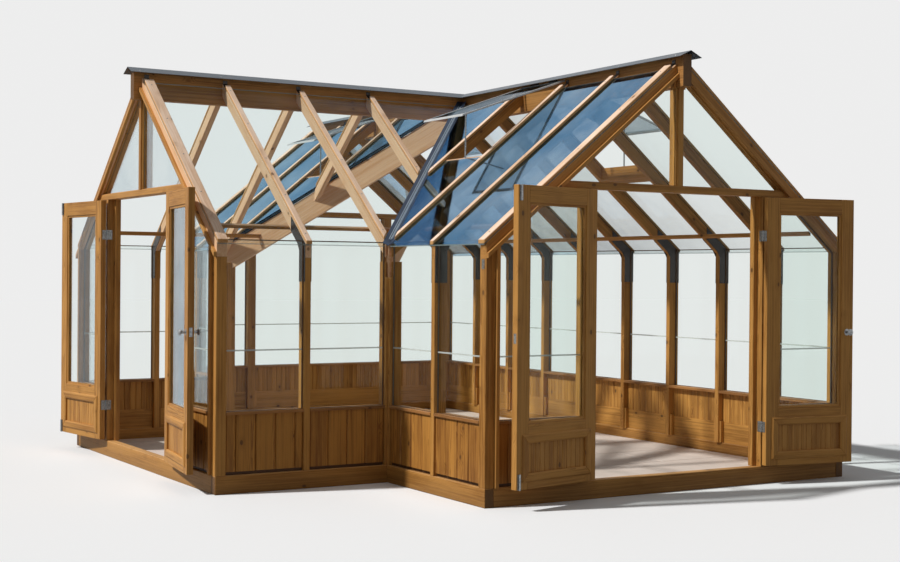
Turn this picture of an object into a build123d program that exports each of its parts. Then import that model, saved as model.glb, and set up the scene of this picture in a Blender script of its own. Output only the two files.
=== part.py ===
from build123d import *
from math import cos, radians, sin, sqrt, tan
import os

# Glass greenhouse on a T-shaped plan. The main range runs along Y, and a
# cross wing of the same section runs towards -X. The origin is at ground
# level, below the crossing of the two ridges. Millimetres, +Z up.

# Plan
BAY = 630.0
MIDDLE_BAYS = 5
ARM_BAYS = 2
GABLE_TRIM = 40.0

# Heights and pitch
EAVES = 1722.0
PITCH = 39.3
BASE_HEIGHT = 125.0
SILL_TOP = 550.0
TIE_BOTTOM = 2058.0
FLOOR_TOP = 40.0

# Timber sections
STOCK = 45.0
STOCK_DEPTH = 95.0
CORNER_WIDTH = 75.0
BASE_THICKNESS = 70.0
RAFTER_DEPTH = 77.0
CAP_STRIP = 20.0
VALLEY_DEPTH = 200.0
RIDGE_BEAM_WIDTH = 75.0
RIDGE_BEAM_DEPTH = 225.0
RIDGE_BEAM_LAP = 63.4
RIDGE_BEAM_OVERHANG = 62.0
PANEL_THICKNESS = 35.0
PANEL_SETBACK = 12.0
SILL_THICKNESS = 20.0
SILL_NOSING = 4.0
RAIL_SIZE = 17.0
RAIL_INSET = 280.0

# Glass and metal sheet
GLASS = 6.0
GLASS_SETBACK = 25.0
GLASS_EAVES_OVERHANG = 17.0
GLASS_RIDGE_GAP = 54.5
PANE_EDGE_GAP = 5.0
RIDGE_CAP_WIDTH = 190.0
RIDGE_CAP_SHEET = 2.0
RIDGE_CAP_PITCH = 25.0
RIDGE_CAP_OVERHANG = 100.0
GUTTER_WIDTH = 78.0
GUTTER_SHEET = 2.0
GUSSET_SHEET = 3.0
GUSSET_POST_LENGTH = 240.0
GUSSET_RAFTER_LENGTH = 235.0
GUSSET_CORNER = 30.0

# Doors
LEAF_WIDTH = 750.0
LEAF_THICKNESS = 45.0
LEAF_BOTTOM = 136.0
LEAF_TOP_GAP = 7.0
LEAF_GAP = 7.0
STILE = 104.0
TOP_RAIL = 108.0
LOCK_RAIL_BOTTOM = 426.0
LOCK_RAIL = 120.0
BOTTOM_RAIL = 100.0
LEAF_PANEL = 20.0
MOULDING = 58.0
MOULDING_LAP = 2.0
MOULDING_PROUD = 10.0
MOULDING_LIP = 4.0
MOULDING_SLOPE = 12.0
DOOR_STOP = 35.0
HINGE_HEIGHT = 76.0
HINGE_PLATE = 2.0
HINGE_PLATE_WIDTH = 34.0
HINGE_BARREL = 6.0
HINGE_PIN = 2.6
HINGE_PIN_OUT = 7.0
HINGE_END = 275.0
HANDLE_HEIGHT = 1085.0
KNOB_RADIUS = 24.0
KNOB_NECK = 10.0
KNOB_ROSE = 5.0
KNOB_REACH = 52.0
BOLT_LENGTH = 100.0
BOLT_WIDTH = 28.0
BOLT_BARREL = 7.0
BOLT_INSET = 24.0
LATCH_PLATE = 2.0
LATCH_WIDTH = 22.0
LATCH_HEIGHT = 62.0
FRONT_LEFT_OPEN = 167.4
FRONT_RIGHT_OPEN = 171.8
SIDE_NEAR_OPEN = 171.5
SIDE_FAR_OPEN = 172.2

# Roof vents
VENT_REACH = 765.0
VENT_OPEN = 20.0
VENT_FRAME = 20.0
VENT_FRAME_DEPTH = 12.0
VENT_SIDE_GAP = 6.0
VENT_ROD = 6.0

# Fits
SEAT = 0.3
BUTT = 0.2
WATERWAY = 3.0

# Worked out from the sizes above
HALF = BAY * MIDDLE_BAYS / 2
GABLE = HALF + BAY * ARM_BAYS + GABLE_TRIM
FIRST_STATION = HALF + BAY * (ARM_BAYS - 1)
RISE = tan(radians(PITCH))
PLUMB = 1 / cos(radians(PITCH))
RIDGE = EAVES + HALF * RISE
GLASS_DEPTH = CAP_STRIP + SEAT
RAFTER_TOP = GLASS_DEPTH + GLASS + SEAT
RAFTER_BOTTOM = RAFTER_TOP + RAFTER_DEPTH
BEAM_SIDE = RIDGE_BEAM_WIDTH / 2
SASH_TOP = BEAM_SIDE + BUTT
GLASS_TOP = BEAM_SIDE + GLASS_RIDGE_GAP
INNER = HALF - STOCK_DEPTH
GABLE_INNER = GABLE - CORNER_WIDTH
JAMB = LEAF_GAP / 2 + LEAF_WIDTH + LEAF_GAP
JAMB_OUTER = JAMB + STOCK
PIN_X = JAMB - LEAF_GAP / 2
PIN_Y = -GABLE - HINGE_PIN_OUT
LEAF_TOP = TIE_BOTTOM - LEAF_TOP_GAP
LEAF_FREE_EDGE = LEAF_GAP / 2
LEAF_HINGE_EDGE = LEAF_FREE_EDGE + LEAF_WIDTH
LEAF_MIDDLE = -GABLE + LEAF_THICKNESS / 2
LOCK_RAIL_TOP = LOCK_RAIL_BOTTOM + LOCK_RAIL
DIAGONAL = sqrt(2.0)
FAR = 2 * GABLE
LONG_STATIONS = [-HALF + BAY * i for i in range(-(ARM_BAYS - 1), MIDDLE_BAYS + ARM_BAYS)]


def roof_line(x, depth=0.0):
    """Height of a line parallel to the roof, a depth below its top face."""
    return RIDGE - abs(x) * RISE - depth * PLUMB


def roof_reach(z, depth):
    """Distance from the ridge at which such a line is at height z."""
    return (RIDGE - depth * PLUMB - z) / RISE


def block(x0, x1, y0, y1, z0, z1):
    centre = Pos((x0 + x1) / 2, (y0 + y1) / 2, (z0 + z1) / 2)
    return centre * Box(abs(x1 - x0), abs(y1 - y0), abs(z1 - z0))


def across(outline, y0, y1):
    """Solid with an outline of (x, z) points, from y0 to y1."""
    wire = Polyline(*[(x, y0, z) for x, z in outline], close=True)
    return extrude(make_face(wire), amount=y1 - y0, dir=(0, 1, 0))


def upright(outline, z0, z1):
    """Solid with an outline of (x, y) points, from z0 to z1."""
    wire = Polyline(*[(x, y, z0) for x, y in outline], close=True)
    return extrude(make_face(wire), amount=z1 - z0, dir=(0, 0, 1))


def slope_band(x0, x1, depth0, depth1):
    """Outline of a layer of the +X slope, cut plumb at x0 and x1."""
    return [
        (x0, roof_line(x0, depth0)),
        (x1, roof_line(x1, depth0)),
        (x1, roof_line(x1, depth1)),
        (x0, roof_line(x0, depth1)),
    ]


def mirrored(solids):
    return [mirror(s, about=Plane.YZ) for s in solids]


def turned(solids, angle):
    return [Rot(0, 0, angle) * s for s in solids]


FRONT_ARM = 0
WING_ARM = -90
BACK_ARM = 180
ARMS = [FRONT_ARM, WING_ARM, BACK_ARM]
FRONT_VALLEY = 225


def valley_zone(offset):
    """Prism over the wing's part of the crossing, grown past the valley lines."""
    step = offset * DIAGONAL
    outline = [(0, -step), (-FAR, -FAR - step), (-FAR, FAR + step), (0, step)]
    return upright(outline, 0, 2 * RIDGE)


def wing_zone(offset):
    """Prism over the wing's part of the crossing, shrunk inside the valley lines."""
    step = offset * DIAGONAL
    outline = [(-step, 0), (-FAR, -FAR + step), (-FAR, FAR - step)]
    return upright(outline, 0, 2 * RIDGE)


# Base beams and floor

def base_beam(length0, length1):
    return block(HALF - BASE_THICKNESS, HALF, length0, length1, 0, BASE_HEIGHT)


def gable_beam():
    reach = HALF - BASE_THICKNESS - BUTT
    return block(-reach, reach, -GABLE, -GABLE + BASE_THICKNESS, 0, BASE_HEIGHT)


def base_beams_long():
    arm = mirrored([base_beam(-GABLE, -HALF + BASE_THICKNESS)])
    back = [mirror(s, about=Plane.XZ) for s in arm]
    return [base_beam(-GABLE, GABLE)] + arm + back + turned([gable_beam()], WING_ARM)


def base_beams_cross():
    wing_side = turned([base_beam(-GABLE, -HALF - BUTT)], WING_ARM)
    other = [mirror(s, about=Plane.XZ) for s in wing_side]
    return [gable_beam()] + turned([gable_beam()], BACK_ARM) + wing_side + other


def floor_slab():
    inside = HALF - BASE_THICKNESS - SEAT
    end = GABLE - BASE_THICKNESS - SEAT
    outline = [
        (inside, -end), (inside, end), (-inside, end), (-inside, inside),
        (-end, inside), (-end, -inside), (-inside, -inside), (-inside, -end),
    ]
    return [upright(outline, 0, FLOOR_TOP)]


# Posts

def post_outline():
    return [
        (INNER, BASE_HEIGHT),
        (HALF, BASE_HEIGHT),
        (HALF, roof_line(HALF, RAFTER_BOTTOM)),
        (INNER, roof_line(INNER, RAFTER_BOTTOM)),
    ]


def post(y0, y1):
    return across(post_outline(), y0, y1)


def station_post(y):
    return post(y - STOCK / 2, y + STOCK / 2)


def corner_posts():
    pair = [post(-GABLE, -GABLE_INNER)]
    pair += mirrored(pair)
    posts = []
    for arm in ARMS:
        posts += turned(pair, arm)
    return posts


def inner_corner_post():
    """Built-up post under a valley, slotted at its head for the valley rafter."""
    flank = HALF + STOCK / 2
    outline = [
        (-INNER, -INNER), (-INNER, -flank), (-HALF, -flank),
        (-HALF, -HALF), (-flank, -HALF), (-flank, -INNER),
    ]
    head = roof_line(flank, RAFTER_BOTTOM)
    return upright(outline, BASE_HEIGHT, head) - valley_plank(STOCK / 2 + BUTT, BUTT, flank + STOCK)


def wall_posts():
    long_wall = [station_post(y) for y in LONG_STATIONS]
    middle = [station_post(-FIRST_STATION - BAY * i) for i in range(ARM_BAYS - 1)]
    front_left = mirrored(middle)
    back_left = [mirror(s, about=Plane.XZ) for s in front_left]
    wing = turned(middle + mirrored(middle), WING_ARM)
    inner = inner_corner_post()
    return long_wall + front_left + back_left + wing + [inner, mirror(inner, about=Plane.XZ)]


# Walls below and above the sill

def arm_gaps():
    """Clear bays of an arm's side wall, from its gable to the crossing."""
    stops = [-FIRST_STATION - BAY * i for i in range(ARM_BAYS - 2, -1, -1)]
    starts = [-GABLE_INNER] + [y + STOCK / 2 for y in stops]
    ends = [y - STOCK / 2 for y in stops + [-HALF]]
    return list(zip(starts, ends))


def long_gaps():
    front = arm_gaps()
    back = [(-y1, -y0) for y0, y1 in front]
    middle = []
    for i in range(MIDDLE_BAYS):
        y = -HALF + BAY * i
        middle.append((y + STOCK / 2, y + BAY - STOCK / 2))
    return front + middle + back


def knee_panel(y0, y1):
    outer = HALF - PANEL_SETBACK
    top = SILL_TOP - SILL_THICKNESS - BUTT
    return block(outer - PANEL_THICKNESS, outer, y0 + BUTT, y1 - BUTT, BASE_HEIGHT + BUTT, top)


def sill(y0, y1):
    return block(INNER, HALF + SILL_NOSING, y0 + BUTT, y1 - BUTT, SILL_TOP - SILL_THICKNESS, SILL_TOP)


def wall_pane(y0, y1):
    outer = HALF - GLASS_SETBACK
    top = roof_line(outer, RAFTER_TOP + WATERWAY)
    return block(outer - GLASS, outer, y0 + PANE_EDGE_GAP, y1 - PANE_EDGE_GAP, SILL_TOP + SEAT, top)


def run_of(piece):
    """One piece for each bay: long wall, short walls along Y, short walls along X."""
    long_wall = [piece(y0, y1) for y0, y1 in long_gaps()]
    short = [piece(y0, y1) for y0, y1 in arm_gaps()]
    front_left = mirrored(short)
    back_left = [mirror(s, about=Plane.XZ) for s in front_left]
    wing = turned(short + mirrored(short), WING_ARM)
    return long_wall + front_left + back_left, wing


def gable_infill(y_outer, thickness, outline):
    right = across(outline, -y_outer, -y_outer + thickness)
    return [right] + mirrored([right])


def gable_side_outline(bottom, top_limit, edge):
    """Space between the door post and the corner post, under the rafter."""
    reach = roof_reach(top_limit, RAFTER_BOTTOM + edge)
    corner = INNER - edge
    return [
        (JAMB_OUTER + edge, bottom),
        (corner, bottom),
        (corner, roof_line(corner, RAFTER_BOTTOM + edge)),
        (reach, top_limit),
        (JAMB_OUTER + edge, top_limit),
    ]


def gable_knee():
    x0 = JAMB_OUTER + BUTT
    x1 = INNER - BUTT
    outer = GABLE - PANEL_SETBACK
    top = SILL_TOP - SILL_THICKNESS - BUTT
    right = block(x0, x1, -outer, -outer + PANEL_THICKNESS, BASE_HEIGHT + BUTT, top)
    return [right] + mirrored([right])


def gable_sill(x0, x1):
    return block(
        x0 + BUTT, x1 - BUTT, -GABLE - SILL_NOSING, -GABLE + STOCK_DEPTH,
        SILL_TOP - SILL_THICKNESS, SILL_TOP,
    )


def gable_side_panes():
    outline = gable_side_outline(SILL_TOP + SEAT, TIE_BOTTOM - PANE_EDGE_GAP, PANE_EDGE_GAP)
    return gable_infill(GABLE - GLASS_SETBACK, GLASS, outline)


def back_middle_knee():
    reach = JAMB - DOOR_STOP - BUTT
    outer = GABLE - PANEL_SETBACK
    top = SILL_TOP - SILL_THICKNESS - BUTT
    return block(-reach, reach, -outer, -outer + PANEL_THICKNESS, BASE_HEIGHT + BUTT, top)


def back_middle_pane():
    reach = JAMB - DOOR_STOP - PANE_EDGE_GAP
    outer = GABLE - GLASS_SETBACK
    return block(-reach, reach, -outer, -outer + GLASS, SILL_TOP + SEAT, TIE_BOTTOM - PANE_EDGE_GAP)


def knee_walls():
    along, wing = run_of(knee_panel)
    gables = gable_knee() + turned(gable_knee() + [back_middle_knee()], BACK_ARM)
    return along + turned(gable_knee(), WING_ARM), wing + gables


def sill_rails():
    along, wing = run_of(sill)
    side = [gable_sill(JAMB_OUTER, INNER)]
    side += mirrored(side)
    middle = gable_sill(-JAMB + DOOR_STOP, JAMB - DOOR_STOP)
    gables = side + turned(side, WING_ARM) + turned(side + [middle], BACK_ARM)
    return along + wing + gables


def wall_glass():
    along, wing = run_of(wall_pane)
    panes = gable_side_panes()
    back = turned(panes + [back_middle_pane()], BACK_ARM)
    return along + turned(panes, WING_ARM), wing + panes + back


# Gable frames

def tie_beam():
    top = TIE_BOTTOM + STOCK
    outline = [
        (roof_reach(TIE_BOTTOM, RAFTER_BOTTOM), TIE_BOTTOM),
        (roof_reach(top, RAFTER_BOTTOM), top),
        (-roof_reach(top, RAFTER_BOTTOM), top),
        (-roof_reach(TIE_BOTTOM, RAFTER_BOTTOM), TIE_BOTTOM),
    ]
    return across(outline, -GABLE, -GABLE + STOCK_DEPTH)


def ridge_beam_bottom():
    return roof_line(BEAM_SIDE, RAFTER_BOTTOM) - RIDGE_BEAM_LAP


def king_post():
    foot = TIE_BOTTOM + STOCK
    head = ridge_beam_bottom()
    return block(-STOCK / 2, STOCK / 2, -GABLE, -GABLE + STOCK_DEPTH, foot, head)


def gable_triangle_panes():
    """Panes of the triangle, notched round the foot of the ridge beam."""
    bottom = TIE_BOTTOM + STOCK + SEAT
    top = ridge_beam_bottom() - PANE_EDGE_GAP
    depth = RAFTER_BOTTOM + PANE_EDGE_GAP
    inner = STOCK / 2 + PANE_EDGE_GAP
    side = BEAM_SIDE + PANE_EDGE_GAP
    outline = [
        (inner, bottom),
        (roof_reach(bottom, depth), bottom),
        (side, roof_line(side, depth)),
        (side, top),
        (inner, top),
    ]
    return gable_infill(GABLE - GLASS_SETBACK, GLASS, outline)


def door_post():
    """Hinge post, rebated for the leaf, with the stop left on its inner side."""
    stop = JAMB - DOOR_STOP
    rebate = -GABLE + LEAF_THICKNESS + LEAF_GAP
    inner = -GABLE + STOCK_DEPTH
    outline = [
        (stop, inner), (JAMB_OUTER, inner), (JAMB_OUTER, -GABLE),
        (JAMB, -GABLE), (JAMB, rebate), (stop, rebate),
    ]
    return upright(outline, BASE_HEIGHT, TIE_BOTTOM)


def door_posts():
    pair = [door_post()]
    pair += mirrored(pair)
    posts = []
    for arm in ARMS:
        posts += turned(pair, arm)
    return posts


# Roof frame

def rafter_outline():
    return slope_band(BEAM_SIDE + BUTT, HALF, RAFTER_TOP, RAFTER_BOTTOM)


def rafter(y):
    return across(rafter_outline(), y - STOCK / 2, y + STOCK / 2)


def gable_rafter():
    return across(rafter_outline(), -GABLE, -GABLE_INNER)


def rafters_right():
    plain = [rafter(y) for y in LONG_STATIONS]
    gable = gable_rafter()
    return plain + [gable, mirror(gable, about=Plane.XZ)]


def arm_stations():
    """Rafters of a slope that ends in a valley: full ones, then one jack."""
    full = [-FIRST_STATION - BAY * i for i in range(ARM_BAYS - 2, -1, -1)]
    return full + [-HALF, -HALF + BAY]


def clipped(solid, cutter):
    return (solid - cutter).solids()


def kept(solid, zone):
    return (solid & zone).solids()


def rafters_left():
    cutter = valley_zone(STOCK / 2 + BUTT)
    front = mirrored([gable_rafter()])
    for y in arm_stations():
        front += clipped(mirror(rafter(y), about=Plane.YZ), cutter)
    return front + [mirror(s, about=Plane.XZ) for s in front]


def rafters_wing():
    zone = wing_zone(STOCK / 2 + BUTT)
    front = turned([gable_rafter()], WING_ARM)
    for y in arm_stations():
        front += kept(Rot(0, 0, WING_ARM) * rafter(y), zone)
    return front + [mirror(s, about=Plane.XZ) for s in front]


def valley_line(t, depth):
    """Height under the valley at plan distance t from the ridge crossing."""
    return RIDGE - t / DIAGONAL * RISE - RAFTER_TOP * PLUMB - depth


def valley_plank(half_width, ease, reach):
    """Plank on the front valley line, from the ridge crossing out to a plan reach."""
    slope = RISE / DIAGONAL
    drop = VALLEY_DEPTH * sqrt(1 + slope * slope) + ease
    foot = reach * DIAGONAL
    outline = [
        (0, valley_line(0, -ease)),
        (foot, valley_line(foot, -ease)),
        (foot, valley_line(foot, drop)),
        (0, valley_line(0, drop)),
    ]
    return Rot(0, 0, FRONT_VALLEY) * across(outline, -half_width, half_width)


def valley_rafters():
    """Planks with cheek cuts against both ridge beams and a pointed foot."""
    room = BEAM_SIDE + BUTT
    ends = block(-HALF, -room, -HALF, -room, 0, 2 * RIDGE)
    front = (valley_plank(STOCK / 2, 0, FAR) & ends).solids()
    return front + [mirror(s, about=Plane.XZ) for s in front]


def valley_gutters():
    """Folded sheet lapped over the edges of the two glass planes where they meet."""
    half = GUTTER_WIDTH / 2
    rise = half / DIAGONAL * RISE
    profile = [
        (0, 0), (half, rise), (half, rise + GUTTER_SHEET),
        (0, GUTTER_SHEET), (-half, rise + GUTTER_SHEET), (-half, rise),
    ]
    z0 = roof_line(0, GLASS_DEPTH) + BUTT
    wire = Polyline(*[(0, v, z0 + w) for v, w in profile], close=True)
    run = (HALF + GLASS_EAVES_OVERHANG) * DIAGONAL
    drop = run / DIAGONAL * RISE
    sheet = extrude(make_face(wire), amount=sqrt(run * run + drop * drop), dir=(run, 0, -drop))
    front = Rot(0, 0, FRONT_VALLEY) * sheet
    room = BEAM_SIDE + BUTT
    front = (front & block(-FAR, -room, -FAR, -room, 0, 2 * RIDGE)).solids()
    return front + [mirror(s, about=Plane.XZ) for s in front]


def ridge_beam(y0, y1):
    bottom = ridge_beam_bottom()
    return block(-BEAM_SIDE, BEAM_SIDE, y0, y1, bottom, bottom + RIDGE_BEAM_DEPTH)


def ridge_beam_main():
    reach = GABLE + RIDGE_BEAM_OVERHANG
    return [ridge_beam(-reach, reach)]


def ridge_beam_wing():
    reach = GABLE + RIDGE_BEAM_OVERHANG
    return turned([ridge_beam(-reach, -BEAM_SIDE - BUTT)], WING_ARM)


def ridge_cap_outline():
    slope = tan(radians(RIDGE_CAP_PITCH))
    sheet = RIDGE_CAP_SHEET / cos(radians(RIDGE_CAP_PITCH))
    top = ridge_beam_bottom() + RIDGE_BEAM_DEPTH + BEAM_SIDE * slope + BUTT
    half = RIDGE_CAP_WIDTH / 2
    edge = top - half * slope
    return [
        (half, edge + sheet), (0, top + sheet), (-half, edge + sheet),
        (-half, edge), (0, top), (half, edge),
    ]


def ridge_cap_main():
    reach = GABLE + RIDGE_CAP_OVERHANG
    return clipped(across(ridge_cap_outline(), -reach, reach), valley_zone(BUTT))


def ridge_cap_wing():
    """Cap of the wing, mitred into the main cap where they cross."""
    reach = GABLE + RIDGE_CAP_OVERHANG
    return kept(Rot(0, 0, WING_ARM) * across(ridge_cap_outline(), -reach, 0), wing_zone(0))


# Roof glass

def roof_pane(y0, y1, x0, x1):
    gap = BUTT + PANE_EDGE_GAP / 2
    outline = slope_band(x0, x1, GLASS_DEPTH, GLASS_DEPTH + GLASS)
    return across(outline, y0 + gap, y1 - gap)


def slope_panes(y0, y1, vented):
    top = GLASS_TOP
    if vented:
        top = VENT_REACH + SEAT
    return roof_pane(y0, y1, top, HALF + GLASS_EAVES_OVERHANG)


def long_edges():
    return [-GABLE] + LONG_STATIONS + [GABLE]


def is_vented(y0, y1):
    """Vents stand in the bays just inside the crossing."""
    return HALF - BAY < abs(y0 + y1) / 2 < HALF


def roof_glass_right():
    edges = long_edges()
    return [slope_panes(a, b, is_vented(a, b)) for a, b in zip(edges, edges[1:])]


def short_edges():
    return [-GABLE] + arm_stations() + [0]


def roof_glass_left():
    cutter = valley_zone(STOCK / 2 + BUTT)
    edges = short_edges()
    front = []
    for a, b in zip(edges, edges[1:]):
        pane = mirror(slope_panes(a, b, is_vented(a, b)), about=Plane.YZ)
        front += clipped(pane, cutter)
    return front + [mirror(s, about=Plane.XZ) for s in front]


def roof_glass_wing():
    zone = wing_zone(STOCK / 2 + BUTT)
    edges = short_edges()
    front = []
    for a, b in zip(edges, edges[1:]):
        front += kept(Rot(0, 0, WING_ARM) * slope_panes(a, b, False), zone)
    return front + [mirror(s, about=Plane.XZ) for s in front]


def cap_strip(y0, y1):
    outline = slope_band(GLASS_TOP, HALF + GLASS_EAVES_OVERHANG, 0, CAP_STRIP)
    return across(outline, y0, y1)


def station_strip(y):
    return cap_strip(y - STOCK / 2, y + STOCK / 2)


def glazing_strips():
    gable = cap_strip(-GABLE, -GABLE_INNER)
    right = [station_strip(y) for y in LONG_STATIONS]
    right += [gable, mirror(gable, about=Plane.XZ)]
    cutter = valley_zone(GUTTER_WIDTH / 2)
    zone = wing_zone(GUTTER_WIDTH / 2)
    left = mirrored([gable])
    wing = turned([gable], WING_ARM)
    for y in arm_stations():
        strip = station_strip(y)
        left += clipped(mirror(strip, about=Plane.YZ), cutter)
        wing += kept(Rot(0, 0, WING_ARM) * strip, zone)
    return right + left + wing + [mirror(s, about=Plane.XZ) for s in left + wing]


# Hanging rails under the rafters

def hanging_rail(y0, y1):
    x = HALF - RAIL_INSET
    top = RAFTER_BOTTOM + BUTT
    outline = slope_band(x - RAIL_SIZE / 2, x + RAIL_SIZE / 2, top, top + RAIL_SIZE)
    return across(outline, y0, y1)


def hanging_rails():
    cutter = valley_zone(STOCK / 2 + BUTT)
    zone = wing_zone(STOCK / 2 + BUTT)
    right = [hanging_rail(-GABLE_INNER, GABLE_INNER)]
    arm = hanging_rail(-GABLE_INNER, 0)
    left = clipped(mirror(arm, about=Plane.YZ), cutter)
    wing = kept(Rot(0, 0, WING_ARM) * arm, zone)
    return right + left + wing + [mirror(s, about=Plane.XZ) for s in left + wing]


# Gusset plates on the sides of each post and rafter joint

def gusset_outline():
    foot = roof_line(INNER, RAFTER_BOTTOM) - GUSSET_POST_LENGTH
    tip = HALF - GUSSET_RAFTER_LENGTH
    lower = RAFTER_BOTTOM
    upper = RAFTER_TOP + BUTT
    elbow_x = INNER - GUSSET_CORNER
    elbow_z = roof_line(INNER, lower) - GUSSET_CORNER * RISE
    return [
        (INNER, foot),
        (HALF - BUTT, foot),
        (HALF - BUTT, roof_line(HALF, upper)),
        (tip, roof_line(tip, upper)),
        (tip, roof_line(tip, lower)),
        (elbow_x, roof_line(elbow_x, lower)),
        (INNER, elbow_z),
    ]


def gusset_pair(y):
    near = y - STOCK / 2 - BUTT
    far = y + STOCK / 2 + BUTT
    outline = gusset_outline()
    return [across(outline, near - GUSSET_SHEET, near), across(outline, far, far + GUSSET_SHEET)]


def frame_gussets():
    right = []
    for y in LONG_STATIONS:
        right += gusset_pair(y)
    arm = []
    for i in range(ARM_BAYS - 1):
        arm += gusset_pair(-FIRST_STATION - BAY * i)
    left = mirrored(arm)
    wing = turned(arm, WING_ARM)
    return right + left + wing + [mirror(s, about=Plane.XZ) for s in left + wing]


# Roof vents, standing open

def vent_curb(y):
    x0 = VENT_REACH - STOCK / 2
    x1 = VENT_REACH + STOCK / 2
    outline = slope_band(x0, x1, RAFTER_TOP, RAFTER_BOTTOM)
    inner = BAY / 2 - STOCK / 2 - BUTT
    return across(outline, y - inner, y + inner)


def vent_lift(solid):
    """Turn a sash from its closed place to its open one, about its top edge."""
    pivot = Pos(SASH_TOP, 0, roof_line(SASH_TOP))
    return pivot * Rot(0, -VENT_OPEN, 0) * pivot.inverse() * solid


def vent_sash(y):
    x0 = SASH_TOP
    half = BAY / 2 - STOCK / 2 - VENT_SIDE_GAP
    outline = slope_band(x0, VENT_REACH + STOCK / 2, 0, VENT_FRAME_DEPTH)
    body = across(outline, y - half, y + half)
    light_outline = slope_band(x0 + VENT_FRAME, VENT_REACH + STOCK / 2 - VENT_FRAME, -STOCK, STOCK)
    light = across(light_outline, y - half + VENT_FRAME, y + half - VENT_FRAME)
    return vent_lift(body - light)


def vent_pane(y):
    x0 = SASH_TOP + VENT_FRAME + SEAT
    x1 = VENT_REACH + STOCK / 2 - VENT_FRAME - SEAT
    half = BAY / 2 - STOCK / 2 - VENT_SIDE_GAP - VENT_FRAME - SEAT
    middle = VENT_FRAME_DEPTH / 2
    outline = slope_band(x0, x1, middle - GLASS / 2, middle + GLASS / 2)
    return vent_lift(across(outline, y - half, y + half))


def vent_opener(y):
    """Rod from the curb up to the underside of the open sash's glass."""
    x = VENT_REACH - STOCK / 4
    foot = roof_line(x - VENT_ROD, RAFTER_TOP) + BUTT
    fall = tan(radians(PITCH - VENT_OPEN))
    under = roof_line(SASH_TOP) - (x - SASH_TOP) * fall
    glass_depth = VENT_FRAME_DEPTH / 2 + GLASS / 2 + BUTT
    head = under - glass_depth / cos(radians(PITCH - VENT_OPEN)) - VENT_ROD * fall
    return Pos(x, y, (foot + head) / 2) * Cylinder(VENT_ROD, head - foot)


def at_vents(piece):
    y = -HALF + BAY / 2
    front = [piece(y)] + mirrored([piece(y)])
    return front + [mirror(s, about=Plane.XZ) for s in front]


# Doors: each leaf is drawn closed at the right of the front gable

def leaf_bar(x0, x1, z0, z1):
    """Member of a leaf's frame, at the leaf's full thickness."""
    return block(x0, x1, -GABLE, -GABLE + LEAF_THICKNESS, z0, z1)


def latch_plate(ease):
    """Plate let in flush with the free edge, or with some ease its pocket."""
    width = LATCH_WIDTH / 2 + ease
    height = LATCH_HEIGHT / 2 + ease
    return block(
        LEAF_FREE_EDGE, LEAF_FREE_EDGE + LATCH_PLATE + ease,
        LEAF_MIDDLE - width, LEAF_MIDDLE + width,
        HANDLE_HEIGHT - height, HANDLE_HEIGHT + height,
    )


def moulding_bar(length):
    """Bar of a bolection moulding, upright, its inner edge on x = 0, mitred at both ends."""
    half = length / 2 - BUTT
    outer = half + MOULDING
    section = [
        (0, 0),
        (0, -MOULDING_LIP),
        (MOULDING_SLOPE, -MOULDING_PROUD),
        (MOULDING - MOULDING_SLOPE, -MOULDING_PROUD),
        (MOULDING, -MOULDING_LIP),
        (MOULDING, 0),
    ]
    mitred = [(0, half), (MOULDING, outer), (MOULDING, -outer), (0, -half)]
    return upright(section, -outer, outer) & across(mitred, -MOULDING_PROUD, 0)


def mouldings():
    """Mitred frames over the joint between the panel and its rails and stiles."""
    x0 = LEAF_FREE_EDGE + STILE + MOULDING_LAP
    x1 = LEAF_HINGE_EDGE - STILE - MOULDING_LAP
    z0 = LEAF_BOTTOM + BOTTOM_RAIL + MOULDING_LAP
    z1 = LOCK_RAIL_BOTTOM - MOULDING_LAP
    centre_x = (x0 + x1) / 2
    centre_z = (z0 + z1) / 2
    face = -GABLE - BUTT
    outside = [
        Pos(x1, face, centre_z) * moulding_bar(z1 - z0),
        Pos(x0, face, centre_z) * Rot(0, 180, 0) * moulding_bar(z1 - z0),
        Pos(centre_x, face, z1) * Rot(0, -90, 0) * moulding_bar(x1 - x0),
        Pos(centre_x, face, z0) * Rot(0, 90, 0) * moulding_bar(x1 - x0),
    ]
    centre = Pos(centre_x, LEAF_MIDDLE, 0)
    return outside + [centre * Rot(0, 0, 180) * centre.inverse() * bar for bar in outside]


def leaf_frame():
    """Stiles, rails and panel, with mouldings round the panel on both faces."""
    x0 = LEAF_FREE_EDGE + STILE + BUTT
    x1 = LEAF_HINGE_EDGE - STILE - BUTT
    foot = LEAF_BOTTOM + BOTTOM_RAIL
    stiles = [
        leaf_bar(LEAF_FREE_EDGE, LEAF_FREE_EDGE + STILE, LEAF_BOTTOM, LEAF_TOP) - latch_plate(BUTT),
        leaf_bar(LEAF_HINGE_EDGE - STILE, LEAF_HINGE_EDGE, LEAF_BOTTOM, LEAF_TOP),
    ]
    rails = [
        leaf_bar(x0, x1, LEAF_BOTTOM, foot),
        leaf_bar(x0, x1, LOCK_RAIL_BOTTOM, LOCK_RAIL_TOP),
        leaf_bar(x0, x1, LEAF_TOP - TOP_RAIL, LEAF_TOP),
    ]
    y0 = LEAF_MIDDLE - LEAF_PANEL / 2
    y1 = LEAF_MIDDLE + LEAF_PANEL / 2
    panel = block(x0, x1, y0, y1, foot + BUTT, LOCK_RAIL_BOTTOM - BUTT)
    return stiles + rails + [panel] + mouldings()


def leaf_pane():
    x0 = LEAF_FREE_EDGE + STILE + SEAT
    x1 = LEAF_HINGE_EDGE - STILE - SEAT
    z0 = LOCK_RAIL_TOP + SEAT
    z1 = LEAF_TOP - TOP_RAIL - SEAT
    return block(x0, x1, LEAF_MIDDLE - GLASS / 2, LEAF_MIDDLE + GLASS / 2, z0, z1)


def hinge_heights():
    return [LEAF_BOTTOM + HINGE_END, LEAF_TOP - HINGE_END]


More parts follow.
